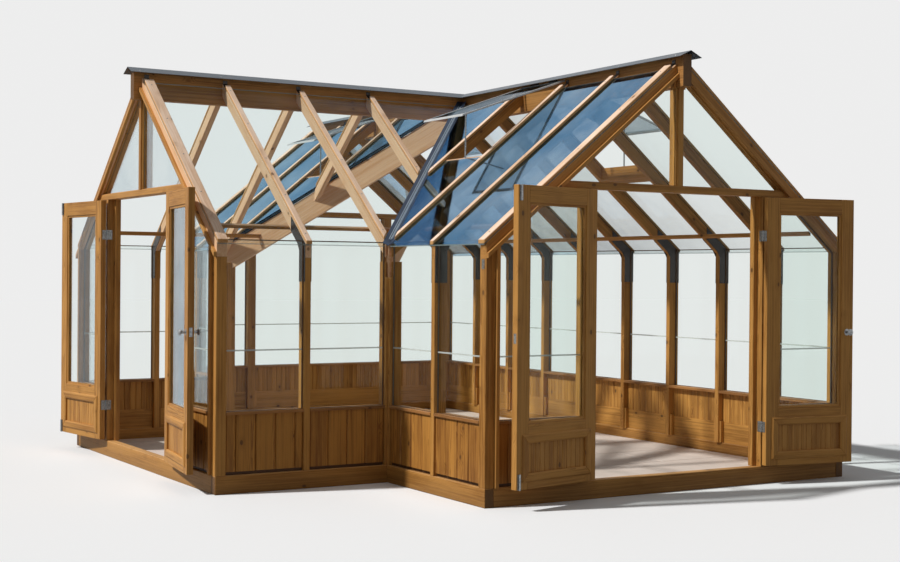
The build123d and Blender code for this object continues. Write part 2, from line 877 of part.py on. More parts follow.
def hinge_half(side, z, knuckle_low, knuckle_high):
    """Plate in the gap beside the leaf, on one side of the pin, with a knuckle round the pin."""
    outer = PIN_X + side * (LEAF_GAP / 2 - BUTT)
    inner = outer - side * HINGE_PLATE
    reach = HINGE_BARREL + HINGE_PLATE
    x0, x1 = sorted([outer, inner])
    low = z - HINGE_HEIGHT / 2
    high = z + HINGE_HEIGHT / 2
    plate = block(x0, x1, PIN_Y + reach, -GABLE + HINGE_PLATE_WIDTH, low, high)
    tongue = block(x0, x1, PIN_Y, PIN_Y + reach, knuckle_low, knuckle_high)
    middle = (knuckle_low + knuckle_high) / 2
    knuckle = Pos(PIN_X, PIN_Y, middle) * Cylinder(HINGE_BARREL, knuckle_high - knuckle_low)
    return plate + tongue + knuckle


def leaf_hinge(z):
    """Upper half of a lift-off hinge, bored for the pin."""
    high = z + HINGE_HEIGHT / 2
    bore = Pos(PIN_X, PIN_Y, z) * Cylinder(HINGE_PIN + SEAT, 2 * HINGE_HEIGHT)
    return hinge_half(-1, z, z + SEAT, high) - bore


def post_hinge(z):
    """Lower half of a lift-off hinge, with the pin that the leaf drops over."""
    low = z - HINGE_HEIGHT / 2
    pin = Pos(PIN_X, PIN_Y, z) * Cylinder(HINGE_PIN, HINGE_HEIGHT)
    return hinge_half(1, z, low, z - SEAT) + pin


def knob(face, direction):
    """Turned knob on its rose, standing off one face of the leaf."""
    profile = [
        (0, 0),
        (KNOB_RADIUS, 0),
        (KNOB_NECK, KNOB_ROSE),
        (KNOB_NECK, KNOB_REACH - KNOB_RADIUS),
        (KNOB_RADIUS, KNOB_REACH - KNOB_RADIUS / 2),
        (KNOB_NECK, KNOB_REACH),
        (0, KNOB_REACH),
    ]
    wire = Polyline(*[(r, 0, h) for r, h in profile], close=True)
    turned_knob = revolve(make_face(wire), axis=Axis.Z)
    return Pos(LEAF_FREE_EDGE + STILE / 2, face, HANDLE_HEIGHT) * Rot(-90 * direction, 0, 0) * turned_knob


def knobs():
    return [knob(-GABLE - BUTT, -1), knob(-GABLE + LEAF_THICKNESS + BUTT, 1)]


def tower_bolt(low):
    """Barrel bolt on the inner face, beside the free edge."""
    x = LEAF_FREE_EDGE + BOLT_INSET
    face = -GABLE + LEAF_THICKNESS + BUTT
    plate = block(x - BOLT_WIDTH / 2, x + BOLT_WIDTH / 2, face, face + HINGE_PLATE, low, low + BOLT_LENGTH)
    rod = Pos(x, face + BOLT_BARREL, low + BOLT_LENGTH / 2) * Cylinder(BOLT_BARREL, BOLT_LENGTH)
    return plate + rod


def tower_bolts():
    return [tower_bolt(LEAF_BOTTOM + BUTT), tower_bolt(LEAF_TOP - BOLT_LENGTH - BUTT)]


def swung(solids, angle, hand, arm):
    """Open the closed leaf by an angle, on the right or left, in its gable."""
    pin = Pos(PIN_X, PIN_Y, 0)
    opened = [pin * Rot(0, 0, angle) * pin.inverse() * s for s in solids]
    if hand < 0:
        opened = mirrored(opened)
    return turned(opened, arm)


LEAVES = [
    ("front_left", FRONT_LEFT_OPEN, -1, FRONT_ARM, False),
    ("front_right", FRONT_RIGHT_OPEN, 1, FRONT_ARM, True),
    ("side_near", SIDE_NEAR_OPEN, 1, WING_ARM, True),
    ("side_far", SIDE_FAR_OPEN, -1, WING_ARM, False),
]


def door_hinges():
    pair = [post_hinge(z) for z in hinge_heights()]
    pair += mirrored(pair)
    return pair + turned(pair, WING_ARM)


def pieces():
    knee_long, knee_cross = knee_walls()
    glass_long, glass_cross = wall_glass()
    tie = [tie_beam()]
    king = [king_post()]
    triangles = gable_triangle_panes()
    nodes = {
        "base_beams_long": base_beams_long(),
        "base_beams_cross": base_beams_cross(),
        "floor_slab": floor_slab(),
        "corner_posts": corner_posts(),
        "wall_posts": wall_posts(),
        "door_posts": door_posts(),
        "knee_walls_long": knee_long,
        "knee_walls_cross": knee_cross,
        "sill_rails": sill_rails(),
        "wall_glass_long": glass_long,
        "wall_glass_cross": glass_cross,
        "tie_beams": [s for arm in ARMS for s in turned(tie, arm)],
        "king_posts": [s for arm in ARMS for s in turned(king, arm)],
        "gable_glass": [s for arm in ARMS for s in turned(triangles, arm)],
        "rafters_right": rafters_right(),
        "rafters_left": rafters_left(),
        "rafters_wing": rafters_wing(),
        "valley_rafters": valley_rafters(),
        "valley_gutters": valley_gutters(),
        "ridge_beam_main": ridge_beam_main(),
        "ridge_beam_wing": ridge_beam_wing(),
        "ridge_cap_main": ridge_cap_main(),
        "ridge_cap_wing": ridge_cap_wing(),
        "roof_glass_right": roof_glass_right(),
        "roof_glass_left": roof_glass_left(),
        "roof_glass_wing": roof_glass_wing(),
        "glazing_strips": glazing_strips(),
        "hanging_rails": hanging_rails(),
        "frame_gussets": frame_gussets(),
        "vent_curbs": at_vents(vent_curb),
        "vent_sashes": at_vents(vent_sash),
        "vent_glass": at_vents(vent_pane),
        "vent_openers": at_vents(vent_opener),
        "door_hinges": door_hinges(),
    }
    for name, angle, hand, arm, active in LEAVES:
        fittings = [leaf_hinge(z) for z in hinge_heights()] + [latch_plate(0)]
        fittings += knobs() if active else tower_bolts()
        nodes[name + "_leaf"] = swung(leaf_frame(), angle, hand, arm)
        nodes[name + "_glass"] = swung([leaf_pane()], angle, hand, arm)
        nodes[name + "_fittings"] = swung(fittings, angle, hand, arm)
    return nodes


os.makedirs("parts", exist_ok=True)
for name, shapes in pieces().items():
    solids = [s for shape in shapes for s in shape.solids()]
    export_step(Compound(children=solids), f"parts/{name}.step")
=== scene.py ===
import math

import bmesh
import bpy
from mathutils import Matrix, Vector


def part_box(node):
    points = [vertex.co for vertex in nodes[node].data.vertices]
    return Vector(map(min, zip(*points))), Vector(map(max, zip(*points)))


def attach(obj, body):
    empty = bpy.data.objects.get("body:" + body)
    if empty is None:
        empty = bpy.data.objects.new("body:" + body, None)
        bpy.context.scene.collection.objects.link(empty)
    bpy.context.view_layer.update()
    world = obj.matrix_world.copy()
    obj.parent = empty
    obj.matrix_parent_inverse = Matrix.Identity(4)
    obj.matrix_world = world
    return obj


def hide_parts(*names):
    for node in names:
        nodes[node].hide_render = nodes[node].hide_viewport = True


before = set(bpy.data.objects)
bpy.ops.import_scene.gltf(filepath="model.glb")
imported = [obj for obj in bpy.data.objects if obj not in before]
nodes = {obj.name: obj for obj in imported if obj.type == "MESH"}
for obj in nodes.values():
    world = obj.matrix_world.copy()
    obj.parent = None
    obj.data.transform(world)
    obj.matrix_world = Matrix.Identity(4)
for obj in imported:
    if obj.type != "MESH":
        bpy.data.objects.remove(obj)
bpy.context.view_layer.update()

# Standpoint: a person's eye height off the corner between the wing and the
# front gable, turned towards the crossing of the two ridges.
EYE = Vector((-6.490, -10.672, 1.495))
TURN = 0.5375
TILT = -0.0057
LEAN = 0.0083
LENS = 58.16

ahead = Vector((math.sin(TURN) * math.cos(TILT), math.cos(TURN) * math.cos(TILT), math.sin(TILT)))
level = Vector((math.cos(TURN), -math.sin(TURN), 0))
above = level.cross(ahead)
side = level * math.cos(LEAN) + above * math.sin(LEAN)
top = above * math.cos(LEAN) - level * math.sin(LEAN)
camera = bpy.data.objects.new("camera", bpy.data.cameras.new("camera"))
camera.matrix_world = Matrix.Translation(EYE) @ Matrix((side, top, -ahead)).transposed().to_4x4()
camera.data.lens = LENS
bpy.context.scene.collection.objects.link(camera)
bpy.context.scene.camera = camera


# Base beams: planed softwood on edge, brushed with a honey brown oil that has
# soaked in unevenly. Every stick gets its own grain, running along its length.
ARRIS = 0.002
BASE_ARRIS = 0.004
WELD = 0.00002
EASED_EDGE = math.radians(35)


def feed(tree, socket, value):
    """Link another socket into this one, or give it a plain value."""
    if isinstance(value, bpy.types.NodeSocket):
        tree.links.new(value, socket)
    else:
        socket.default_value = value


def maths(tree, operation, *values):
    node = tree.nodes.new("ShaderNodeMath")
    node.operation = operation
    for socket, value in zip(node.inputs, values):
        feed(tree, socket, value)
    return node.outputs[0]


def add(tree, first, second):
    return maths(tree, "ADD", first, second)


def times(tree, first, second):
    return maths(tree, "MULTIPLY", first, second)


def vectors(tree, operation, *values):
    node = tree.nodes.new("ShaderNodeVectorMath")
    node.operation = operation
    sockets = node.inputs
    if operation == "SCALE":
        sockets = [node.inputs[0], node.inputs["Scale"]]
    for socket, value in zip(sockets, values):
        feed(tree, socket, value)
    return node.outputs["Value" if operation in ("DOT_PRODUCT", "LENGTH") else "Vector"]


def dot(tree, first, second):
    return vectors(tree, "DOT_PRODUCT", first, second)


def parts_of(tree, value):
    node = tree.nodes.new("ShaderNodeSeparateXYZ")
    feed(tree, node.inputs[0], value)
    return node.outputs[0], node.outputs[1], node.outputs[2]


def combined(tree, x, y, z):
    node = tree.nodes.new("ShaderNodeCombineXYZ")
    for socket, value in zip(node.inputs, (x, y, z)):
        feed(tree, socket, value)
    return node.outputs[0]


def mean(tree, value, island, domain):
    """Average of a vector over each loose part of the mesh."""
    node = tree.nodes.new("GeometryNodeFieldAverage")
    node.data_type = "FLOAT_VECTOR"
    node.domain = domain
    feed(tree, node.inputs["Value"], value)
    feed(tree, node.inputs["Group Index"], island)
    return node.outputs["Mean"]


def strongest(tree, weighed, plain, island, domain):
    """Main direction of each loose part: the product of two vectors, averaged, then turned repeatedly."""
    rows = [vectors(tree, "SCALE", weighed, part) for part in parts_of(tree, plain)]
    rows = [mean(tree, row, island, domain) for row in rows]
    along = combined(tree, 0.3, 0.5, 0.8)
    for _ in range(6):
        along = vectors(tree, "NORMALIZE", combined(tree, *[dot(tree, row, along) for row in rows]))
    return along


def group_for_solids(name):
    """Empty modifier group, with its input, its output and the number of the loose solid."""
    tree = bpy.data.node_groups.new(name, "GeometryNodeTree")
    for way in ("INPUT", "OUTPUT"):
        tree.interface.new_socket("Geometry", in_out=way, socket_type="NodeSocketGeometry")
    given = tree.nodes.new("NodeGroupInput")
    result = tree.nodes.new("NodeGroupOutput")
    island = tree.nodes.new("GeometryNodeInputMeshIsland").outputs["Island Index"]
    return tree, given, result, island


def stick_group():
    """Modifier group that gives each loose solid its own grain coordinates and chance numbers."""
    tree, given, result, island = group_for_solids("sticks")
    tree.interface.new_socket("Seed", in_out="INPUT", socket_type="NodeSocketInt")
    place = tree.nodes.new("GeometryNodeInputPosition").outputs[0]
    offset = vectors(tree, "SUBTRACT", place, mean(tree, place, island, "POINT"))
    along = strongest(tree, offset, offset, island, "POINT")
    rise = maths(tree, "ABSOLUTE", parts_of(tree, along)[2])
    standing = maths(tree, "GREATER_THAN", rise, 0.9)
    guide = combined(tree, standing, 0.0, maths(tree, "SUBTRACT", 1.0, standing))
    across = vectors(tree, "NORMALIZE", vectors(tree, "CROSS_PRODUCT", along, guide))
    depth = vectors(tree, "CROSS_PRODUCT", along, across)
    grain = combined(tree, *[dot(tree, offset, way) for way in (along, across, depth)])
    chance = tree.nodes.new("FunctionNodeRandomValue")
    chance.data_type = "FLOAT_VECTOR"
    feed(tree, chance.inputs["ID"], island)
    feed(tree, chance.inputs["Seed"], given.outputs["Seed"])
    geometry = given.outputs["Geometry"]
    for name, value in (("grain", grain), ("stick", chance.outputs[0]), ("axis", along)):
        store = tree.nodes.new("GeometryNodeStoreNamedAttribute")
        store.data_type = "FLOAT_VECTOR"
        store.domain = "POINT"
        store.inputs["Name"].default_value = name
        feed(tree, store.inputs["Geometry"], geometry)
        feed(tree, store.inputs["Value"], value)
        geometry = store.outputs["Geometry"]
    forget = tree.nodes.new("GeometryNodeRemoveAttribute")
    forget.inputs["Name"].default_value = "custom_normal"
    flat = tree.nodes.new("GeometryNodeSetShadeSmooth")
    flat.inputs["Shade Smooth"].default_value = False
    feed(tree, forget.inputs["Geometry"], geometry)
    feed(tree, flat.inputs["Geometry"], forget.outputs["Geometry"])
    feed(tree, result.inputs["Geometry"], flat.outputs["Geometry"])
    return tree


STICKS = stick_group()
sticks_made = 0


def as_sticks(piece, arris=ARRIS):
    """Ease the edges of a piece's solids and give each one its grain."""
    global sticks_made
    sticks_made += 1
    if piece in nodes.values():
        piece.modifiers.new("weld", "WELD").merge_threshold = WELD
    if arris:
        bevel = piece.modifiers.new("eased", "BEVEL")
        bevel.width = arris
        bevel.segments = 1
        bevel.limit_method = "ANGLE"
        bevel.angle_limit = EASED_EDGE
    marked = piece.modifiers.new("sticks", "NODES")
    marked.node_group = STICKS
    seed = next(s for s in STICKS.interface.items_tree if s.name == "Seed")
    marked[seed.identifier] = sticks_made


def finish(piece, material):
    """One material all over a piece."""
    piece.data.materials.clear()
    piece.data.materials.append(material)


def noise(tree, place, scale, detail=3.0, rough=0.55):
    node = tree.nodes.new("ShaderNodeTexNoise")
    for name, value in (("Vector", place), ("Scale", scale), ("Detail", detail), ("Roughness", rough)):
        feed(tree, node.inputs[name], value)
    return node.outputs[0]


def span(tree, value, low, high, new_low=0.0, new_high=1.0, smooth=False):
    """Carry the range from low to high over to a new one, and hold its ends beyond it."""
    node = tree.nodes.new("ShaderNodeMapRange")
    node.interpolation_type = "SMOOTHSTEP" if smooth else "LINEAR"
    for socket, number in zip(node.inputs, (value, low, high, new_low, new_high)):
        feed(tree, socket, number)
    return node.outputs["Result"]


def blend(tree, share, first, second):
    """Mix two colours, each a socket or three numbers."""
    node = tree.nodes.new("ShaderNodeMix")
    node.data_type = "RGBA"
    feed(tree, node.inputs["Factor"], share)
    for socket, value in ((node.inputs[6], first), (node.inputs[7], second)):
        feed(tree, socket, value if isinstance(value, bpy.types.NodeSocket) else (*value, 1))
    return node.outputs[2]


def attribute(tree, name):
    node = tree.nodes.new("ShaderNodeAttribute")
    node.attribute_name = name
    return node.outputs["Vector"]


def colour(red, green, blue):
    """Screen colour from 0 to 255, as the linear numbers that a shader takes."""
    def linear(value):
        share = value / 255
        return share / 12.92 if share <= 0.04045 else ((share + 0.055) / 1.055) ** 2.4
    return linear(red), linear(green), linear(blue)


def new_material(name):
    """Bare material: its node tree and its one main shader."""
    material = bpy.data.materials.new(name)
    material.use_nodes = True
    return material, material.node_tree, material.node_tree.nodes["Principled BSDF"]


def bump(tree, shader, height, depth, strength=0.5):
    node = tree.nodes.new("ShaderNodeBump")
    node.inputs["Strength"].default_value = strength
    node.inputs["Distance"].default_value = depth
    feed(tree, node.inputs["Height"], height)
    feed(tree, shader.inputs["Normal"], node.outputs["Normal"])


def timber(name, early, late, pale_tone, bleach_and_light_top=0.0, fade_all=0.0, splash=0.0):
    """Oiled softwood with growth rings, fibres, knots and tones that differ from stick to stick."""
    material, tree, shader = new_material(name)
    grain = attribute(tree, "grain")
    stick = attribute(tree, "stick")
    chance_x, chance_y, chance_z = parts_of(tree, stick)
    shifted = vectors(tree, "ADD", grain, vectors(tree, "MULTIPLY", stick, (9.0, 0.7, 0.7)))

    def stretched(length, width):
        return vectors(tree, "MULTIPLY", shifted, (1 / length, 1 / width, 1 / width))

    knot = tree.nodes.new("ShaderNodeTexVoronoi")
    knot.inputs["Scale"].default_value = 1.0
    feed(tree, knot.inputs["Vector"], stretched(0.17, 0.11))
    rare = span(tree, parts_of(tree, knot.outputs["Color"])[0], 0.52, 0.56)
    near_knot = times(tree, rare, span(tree, knot.outputs["Distance"], 0.42, 0.05, smooth=True))
    knot_core = times(tree, rare, span(tree, knot.outputs["Distance"], 0.13, 0.07, smooth=True))

    _, width, depth = parts_of(tree, grain)
    heart_x = add(tree, width, span(tree, chance_y, 0, 1, -0.06, 0.06))
    heart_z = add(tree, depth, span(tree, chance_z, 0, 1, 0.035, 0.11))
    wander = noise(tree, stretched(0.8, 0.13), 1.0)
    from_heart = vectors(tree, "LENGTH", combined(tree, heart_x, heart_z, 0.0))
    from_heart = add(tree, from_heart, times(tree, wander, 0.034))
    from_heart = add(tree, from_heart, times(tree, near_knot, 0.012))
    ring = maths(tree, "FRACT", times(tree, from_heart, 1 / 0.0052))
    ring = span(tree, ring, 0.35, 1.0, smooth=True)
    fibres = noise(tree, stretched(0.16, 0.0022), 1.0, 2.0)
    streaks = noise(tree, stretched(0.9, 0.012), 1.0, 3.0)
    clouds = noise(tree, stretched(0.45, 0.09), 1.0, 4.0)

    tone = times(tree, ring, 0.55)
    for part, low, high, lighter, darker in (
        (fibres, 0.3, 0.75, -0.15, 0.25),
        (streaks, 0.3, 0.7, -0.35, 0.45),
        (clouds, 0.3, 0.72, -0.3, 0.45),
        (chance_x, 0, 1, -0.22, 0.3),
    ):
        tone = add(tree, tone, span(tree, part, low, high, lighter, darker))
    tone = maths(tree, "MAXIMUM", maths(tree, "MINIMUM", tone, 1.0), 0.0)
    shown = blend(tree, tone, early, late)
    place = tree.nodes.new("ShaderNodeTexCoord")
    level = parts_of(tree, place.outputs["Normal"])[2]
    # Top faces turn paler: partly weathering, partly a painted highlight where the light falls on tops.
    top_bleach_and_highlight = span(tree, level, 0.3, 0.75, 0.0, bleach_and_light_top, smooth=True)
    bleach_and_highlight = add(tree, top_bleach_and_highlight, fade_all)
    bleach_and_highlight = times(tree, bleach_and_highlight, span(tree, clouds, 0.25, 0.6, 1.0, 0.6))
    paled_colour = blend(tree, times(tree, tone, 0.5), pale_tone, early)
    shown = blend(tree, bleach_and_highlight, shown, paled_colour)
    if splash:
        height = parts_of(tree, place.outputs["Object"])[2]
        wet = add(tree, height, times(tree, clouds, 0.09))
        shown = blend(tree, span(tree, wet, 0.16, 0.05, 0.0, splash), shown, colour(70, 52, 34))
    dark = tuple(value * 0.28 for value in late)
    ends = maths(tree, "ABSOLUTE", dot(tree, attribute(tree, "axis"), place.outputs["Normal"]))
    shown = blend(tree, span(tree, ends, 0.85, 0.97, 0.0, 0.8), shown, dark)
    shown = blend(tree, times(tree, near_knot, 0.35), shown, late)
    shown = blend(tree, times(tree, knot_core, 0.8), shown, dark)
    feed(tree, shader.inputs["Base Color"], shown)
    feed(tree, shader.inputs["Roughness"], span(tree, fibres, 0.3, 0.7, 0.5, 0.68))
    shader.inputs["Specular IOR Level"].default_value = 0.35
    relief = add(tree, times(tree, ring, 0.5), fibres)
    bump(tree, shader, maths(tree, "SUBTRACT", relief, knot_core), 0.0006, 0.6)
    return material


HONEY = colour(200, 145, 74)
HONEY_DARK = colour(140, 92, 35)
PALE_TONE = colour(228, 190, 146)
framing = timber("oiled_framing", HONEY, HONEY_DARK, PALE_TONE, bleach_and_light_top=0.25)
ground_timber = timber("oiled_ground_beams", HONEY, HONEY_DARK, PALE_TONE, bleach_and_light_top=0.3, splash=0.35)
for name in ("base_beams_long", "base_beams_cross"):
    finish(nodes[name], ground_timber)
    as_sticks(nodes[name], BASE_ARRIS)


# Floor: long pale concrete flags with a slight rose tint, laid in courses across
# the range, with open joints that have filled with dark soil.
COURSE = 0.60
FLAG_JOINT = 0.013
FLAG_CHAMFER = 0.003
BEDDING = 0.018
MAIN_BREAKS = ((-0.76, 0.74), (-0.30,))
WING_BREAKS = ((-2.20,), ())
UP = Vector((0, 0, 1))


def solids_of(node):
    """The loose solids of a CAD node, each as a list of faces with their corner points."""
    mesh = bmesh.new()
    mesh.from_mesh(nodes[node].data)
    bmesh.ops.remove_doubles(mesh, verts=mesh.verts, dist=WELD)
    mesh.faces.ensure_lookup_table()
    taken = set()
    found = []
    for first in mesh.faces:
        if first.index in taken:
            continue
        taken.add(first.index)
        queue = [first]
        for face in queue:
            for other in (other for edge in face.edges for other in edge.link_faces):
                if other.index not in taken:
                    taken.add(other.index)
                    queue.append(other)
        found.append([[corner.co.copy() for corner in face.verts] for face in queue])
    mesh.free()
    return found


def points_of(solid):
    return [point for face in solid for point in face]


def extent(points, way):
    """Least and greatest reach of some points along a direction."""
    reach = [point.dot(way) for point in points]
    return min(reach), max(reach)


def new_piece(name, mesh, material, body):
    """Turn a finished bmesh into an object that rides on a body."""
    bmesh.ops.recalc_face_normals(mesh, faces=mesh.faces)
    data = bpy.data.meshes.new(name)
    mesh.to_mesh(data)
    mesh.free()
    piece = bpy.data.objects.new(name, data)
    bpy.context.scene.collection.objects.link(piece)
    data.materials.append(material)
    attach(piece, body)
    return piece


def prism(mesh, outline, sweep):
    """Closed solid: an outline of points, carried along a vector."""
    first = [mesh.verts.new(point) for point in outline]
    last = [mesh.verts.new(point + sweep) for point in outline]
    mesh.faces.new(first)
    mesh.faces.new(last[::-1])
    for i, corner in enumerate(first):
        after = (i + 1) % len(first)
        mesh.faces.new((corner, last[i], last[after], first[after]))


def skin(mesh, rings):
    """Closed solid over rings of corners, one above the other."""
    mesh.faces.new(rings[0][::-1])
    mesh.faces.new(rings[-1])
    for lower, upper in zip(rings, rings[1:]):
        for i, corner in enumerate(lower):
            after = (i + 1) % len(lower)
            mesh.faces.new((corner, lower[after], upper[after], upper[i]))


def flag(mesh, x0, x1, y0, y1, bottom, height):
    """One flag with its upper edges chamfered."""
    rings = []
    for cut, z in ((0, bottom), (0, height - FLAG_CHAMFER), (FLAG_CHAMFER, height)):
        plan = ((x0 + cut, y0 + cut), (x1 - cut, y0 + cut), (x1 - cut, y1 - cut), (x0 + cut, y1 - cut))
        rings.append([mesh.verts.new((x, y, z)) for x, y in plan])
    skin(mesh, rings)


def place_of(tree):
    """Where a point lies on the object, in metres."""
    return tree.nodes.new("ShaderNodeTexCoord").outputs["Object"]


def concrete(name, pale, dark):
    """Cast concrete with sand grains, cloudy damp marks and a tone for each flag."""
    material, tree, shader = new_material(name)
    place = place_of(tree)
    chance = parts_of(tree, attribute(tree, "stick"))[0]
    sand = noise(tree, place, 420.0, 2.0)
    clouds = noise(tree, place, 3.2, 5.0, 0.62)
    tone = times(tree, chance, 0.25)
    for part, most in ((sand, 0.3), (clouds, 0.55)):
        tone = add(tree, tone, span(tree, part, 0.3, 0.7, 0.0, most))
    feed(tree, shader.inputs["Base Color"], blend(tree, tone, pale, dark))
    feed(tree, shader.inputs["Roughness"], span(tree, clouds, 0.3, 0.7, 0.78, 0.92))
    bump(tree, shader, sand, 0.0008, 0.5)
    return material


floor_low, floor_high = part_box("floor_slab")
slab_points = points_of(solids_of("floor_slab")[0])
wing_side = max(p.y for p in slab_points if p.x < floor_low.x + WELD)
main_side = min(p.x for p in slab_points if p.y < floor_low.y + WELD)
flags = bmesh.new()
bed = bmesh.new()
bed_outline = [
    (floor_high.x, floor_low.y), (floor_high.x, floor_high.y),
    (main_side, floor_high.y), (main_side, wing_side),
    (floor_low.x, wing_side), (floor_low.x, -wing_side),
    (main_side, -wing_side), (main_side, floor_low.y),
]
prism(bed, [Vector((x, y, 0)) for x, y in bed_outline], UP * (floor_high.z - BEDDING))
for x0, x1, y0, y1, breaks in (
    (main_side, floor_high.x, floor_low.y, floor_high.y, MAIN_BREAKS),
    (floor_low.x, main_side, -wing_side, wing_side, WING_BREAKS),
):
    whole = range(math.ceil(y0 / COURSE), math.ceil(y1 / COURSE))
    courses = [y0, *[COURSE * i for i in whole], y1]
    half = FLAG_JOINT / 2
    for near, far in zip(courses, courses[1:]):
        ends = [x0, *breaks[round(far / COURSE) % 2], x1]
        for left, right in zip(ends, ends[1:]):
            flag(flags, left + half, right - half, near + half, far - half,
                 floor_high.z - BEDDING, floor_high.z)
paving = concrete("flag_concrete", colour(238, 224, 217), colour(204, 189, 182))
soil = concrete("joint_soil", colour(66, 58, 50), colour(40, 34, 29))
for name, mesh, material in (("floor_flags", flags, paving), ("floor_bed", bed, soil)):
    piece = new_piece(name, mesh, material, "greenhouse")
    as_sticks(piece, 0)
    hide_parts("floor_slab")


# Posts: corner, wall, door and king posts and the tie beams, of the same oiled
# softwood planed square with eased edges. The back gable has no doors, so
# battens fill the rebates of its two door posts.
BACK_END = 2.5
REBATE_WIDTH = 0.035
REBATE_DEPTH = 0.052
BATTEN_EASE = 0.0004


def bar(mesh, corner, width, height, sweep):
    """Four-cornered solid from one corner and its three sides as vectors."""
    prism(mesh, [corner, corner + width, corner + width + height, corner + height], sweep)


for name in ("corner_posts", "wall_posts", "door_posts", "king_posts", "tie_beams"):
    finish(nodes[name], framing)
    as_sticks(nodes[name])
battens = bmesh.new()
for solid in solids_of("door_posts"):
    spots = points_of(solid)
    if min(p.y for p in spots) < BACK_END:
        continue
    hand = math.copysign(1, sum(p.x for p in spots))
    near = min(abs(p.x) for p in spots) + BATTEN_EASE
    far = near + REBATE_WIDTH - 2 * BATTEN_EASE
    back = max(p.y for p in spots) - BATTEN_EASE
    front = back - REBATE_DEPTH + 2 * BATTEN_EASE
    foot = min(p.z for p in spots) + BATTEN_EASE
    head = max(p.z for p in spots) - BATTEN_EASE
    bar(battens, Vector((hand * near, front, foot)), Vector((hand * (far - near), 0, 0)),
        Vector((0, back - front, 0)), UP * (head - foot))
rebate_battens = new_piece("rebate_battens", battens, framing, "greenhouse")
as_sticks(rebate_battens, 0)


# Knee walls: upright boards outside with open V joints over a foot rail that is
# set back, narrow reeded boards inside, a plain skirting board along their foot,
# and a short upright block where the skirting meets a post. The foot rail, and
# the head rail behind the boards, are coloured near black as painted shade in the recess.
OUTER_BOARD = 0.145
OUTER_THICKNESS = 0.016
JOINT_CUT = 0.009
JOINT_GAP = 0.004
FOOT_GAP = 0.022
FOOT_RAIL = 0.060
REED = 0.050
REED_THICKNESS = 0.012
REED_CUT = 0.004
REED_GAP = 0.0006
SKIRTING_HEIGHT = 0.165
SKIRTING_THICKNESS = 0.019
BLOCK_WIDTH = 0.022
BLOCK_THICKNESS = 0.028
BLOCK_RISE = 0.012
BEAD_SEAT = 0.0003
CORE_CUT = 0.001
BLOCK_CUT = 0.002
WING_END = -2.3
WING_END_BOARD = 0.079


def plate_of(points):
    """Middle, face direction and sizes of an upright rectangular plate, from its corners."""
    low, high = extent(points, UP)
    plan = []
    for p in points:
        spot = Vector((p.x, p.y, 0))
        if all((spot - other).length > 10 * WELD for other in plan):
            plan.append(spot)
    start = plan[0]
    near, wide = sorted(plan[1:], key=lambda other: (other - start).length)[:2]
    middle = sum(plan, Vector()) / len(plan) + UP * ((low + high) / 2)
    thick = near - start
    run = wide - start
    return middle, run.normalized(), thick.normalized(), run.length, high - low, thick.length


def board_row(mesh, start, run, face, width, pitch, low, high, thickness, cut, gap, first=0):
    """Upright boards side by side, their face edges cut back to make V joints. Without a width
    for the first it is what the full ones leave over. start is on the face, the boards behind it."""
    sliver = pitch * 0.2
    rest = width - int(width / pitch + 0.01) * pitch
    place = first or (rest if rest > sliver else rest + pitch)
    ends = [0.0]
    while place < width - sliver:
        ends.append(place)
        place += pitch
    ends.append(width)
    for near, far in zip(ends, ends[1:]):
        left = start + run * (near + gap / 2) + UP * (low - start.z)
        right = left + run * (far - near - gap)
        outline = [
            left - face * cut,
            left + run * cut,
            right - run * cut,
            right - face * cut,
            right - face * thickness,
            left - face * thickness,
        ]
        prism(mesh, outline, UP * (high - low))


outer_boards = timber("outer_boards", colour(192, 135, 62), colour(128, 80, 29), PALE_TONE, splash=0.2)
# Dark rails: painted shade in the recess under the boards.
rails_in_painted_shade = timber("foot_and_head_rails_painted_shade", colour(78, 50, 24), colour(48, 30, 14), PALE_TONE)
reeded_boards = timber("reeded_boards", colour(200, 145, 72), colour(138, 91, 36), PALE_TONE)
for name in ("knee_walls_long", "knee_walls_cross"):
    outside = bmesh.new()
    inside = bmesh.new()
    between = bmesh.new()
    for solid in solids_of(name):
        middle, run, out, width, height, thickness = plate_of(points_of(solid))
        if out.dot(middle) < 0:
            out = -out
        if run.x - run.y < 0:
            run = -run
        foot = middle.z - height / 2
        head = middle.z + height / 2
        corner = middle - run * (width / 2)
        outer_face = corner + out * (thickness / 2)
        wing_end = middle.x < WING_END and abs(out.y) > 0.5
        board_row(outside, outer_face, run, out, width, OUTER_BOARD, foot + FOOT_GAP, head,
                  OUTER_THICKNESS, JOINT_CUT, JOINT_GAP, WING_END_BOARD * wing_end)
        core = thickness - OUTER_THICKNESS - REED_THICKNESS - 2 * BEAD_SEAT
        for low, high in ((foot, foot + FOOT_RAIL), (head - FOOT_RAIL, head)):
            board_row(between, outer_face - out * (OUTER_THICKNESS + BEAD_SEAT), run, out, width, width,
                      low, high, core, CORE_CUT, 0)
        inner_face = corner - out * (thickness / 2)
        board_row(inside, inner_face, run, -out, width, REED, foot + SKIRTING_HEIGHT, head,
                  REED_THICKNESS, REED_CUT, REED_GAP)
        board_row(inside, inner_face - out * (SKIRTING_THICKNESS - REED_THICKNESS), run, -out, width, width,
                  foot, foot + SKIRTING_HEIGHT, SKIRTING_THICKNESS, REED_CUT, REED_GAP)
        block = inner_face - out * (BLOCK_THICKNESS + SKIRTING_THICKNESS - REED_THICKNESS)
        board_row(inside, block, run, -out, BLOCK_WIDTH, BLOCK_WIDTH, foot,
                  foot + SKIRTING_HEIGHT + BLOCK_RISE, BLOCK_THICKNESS, BLOCK_CUT, 0)
    for layer, mesh, stain in (
        ("boards", outside, outer_boards),
        ("core", between, rails_in_painted_shade),
        ("reeds", inside, reeded_boards),
    ):
        boards = new_piece(f"{name}_{layer}", mesh, stain, "greenhouse")
        as_sticks(boards, 0)
        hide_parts(name)


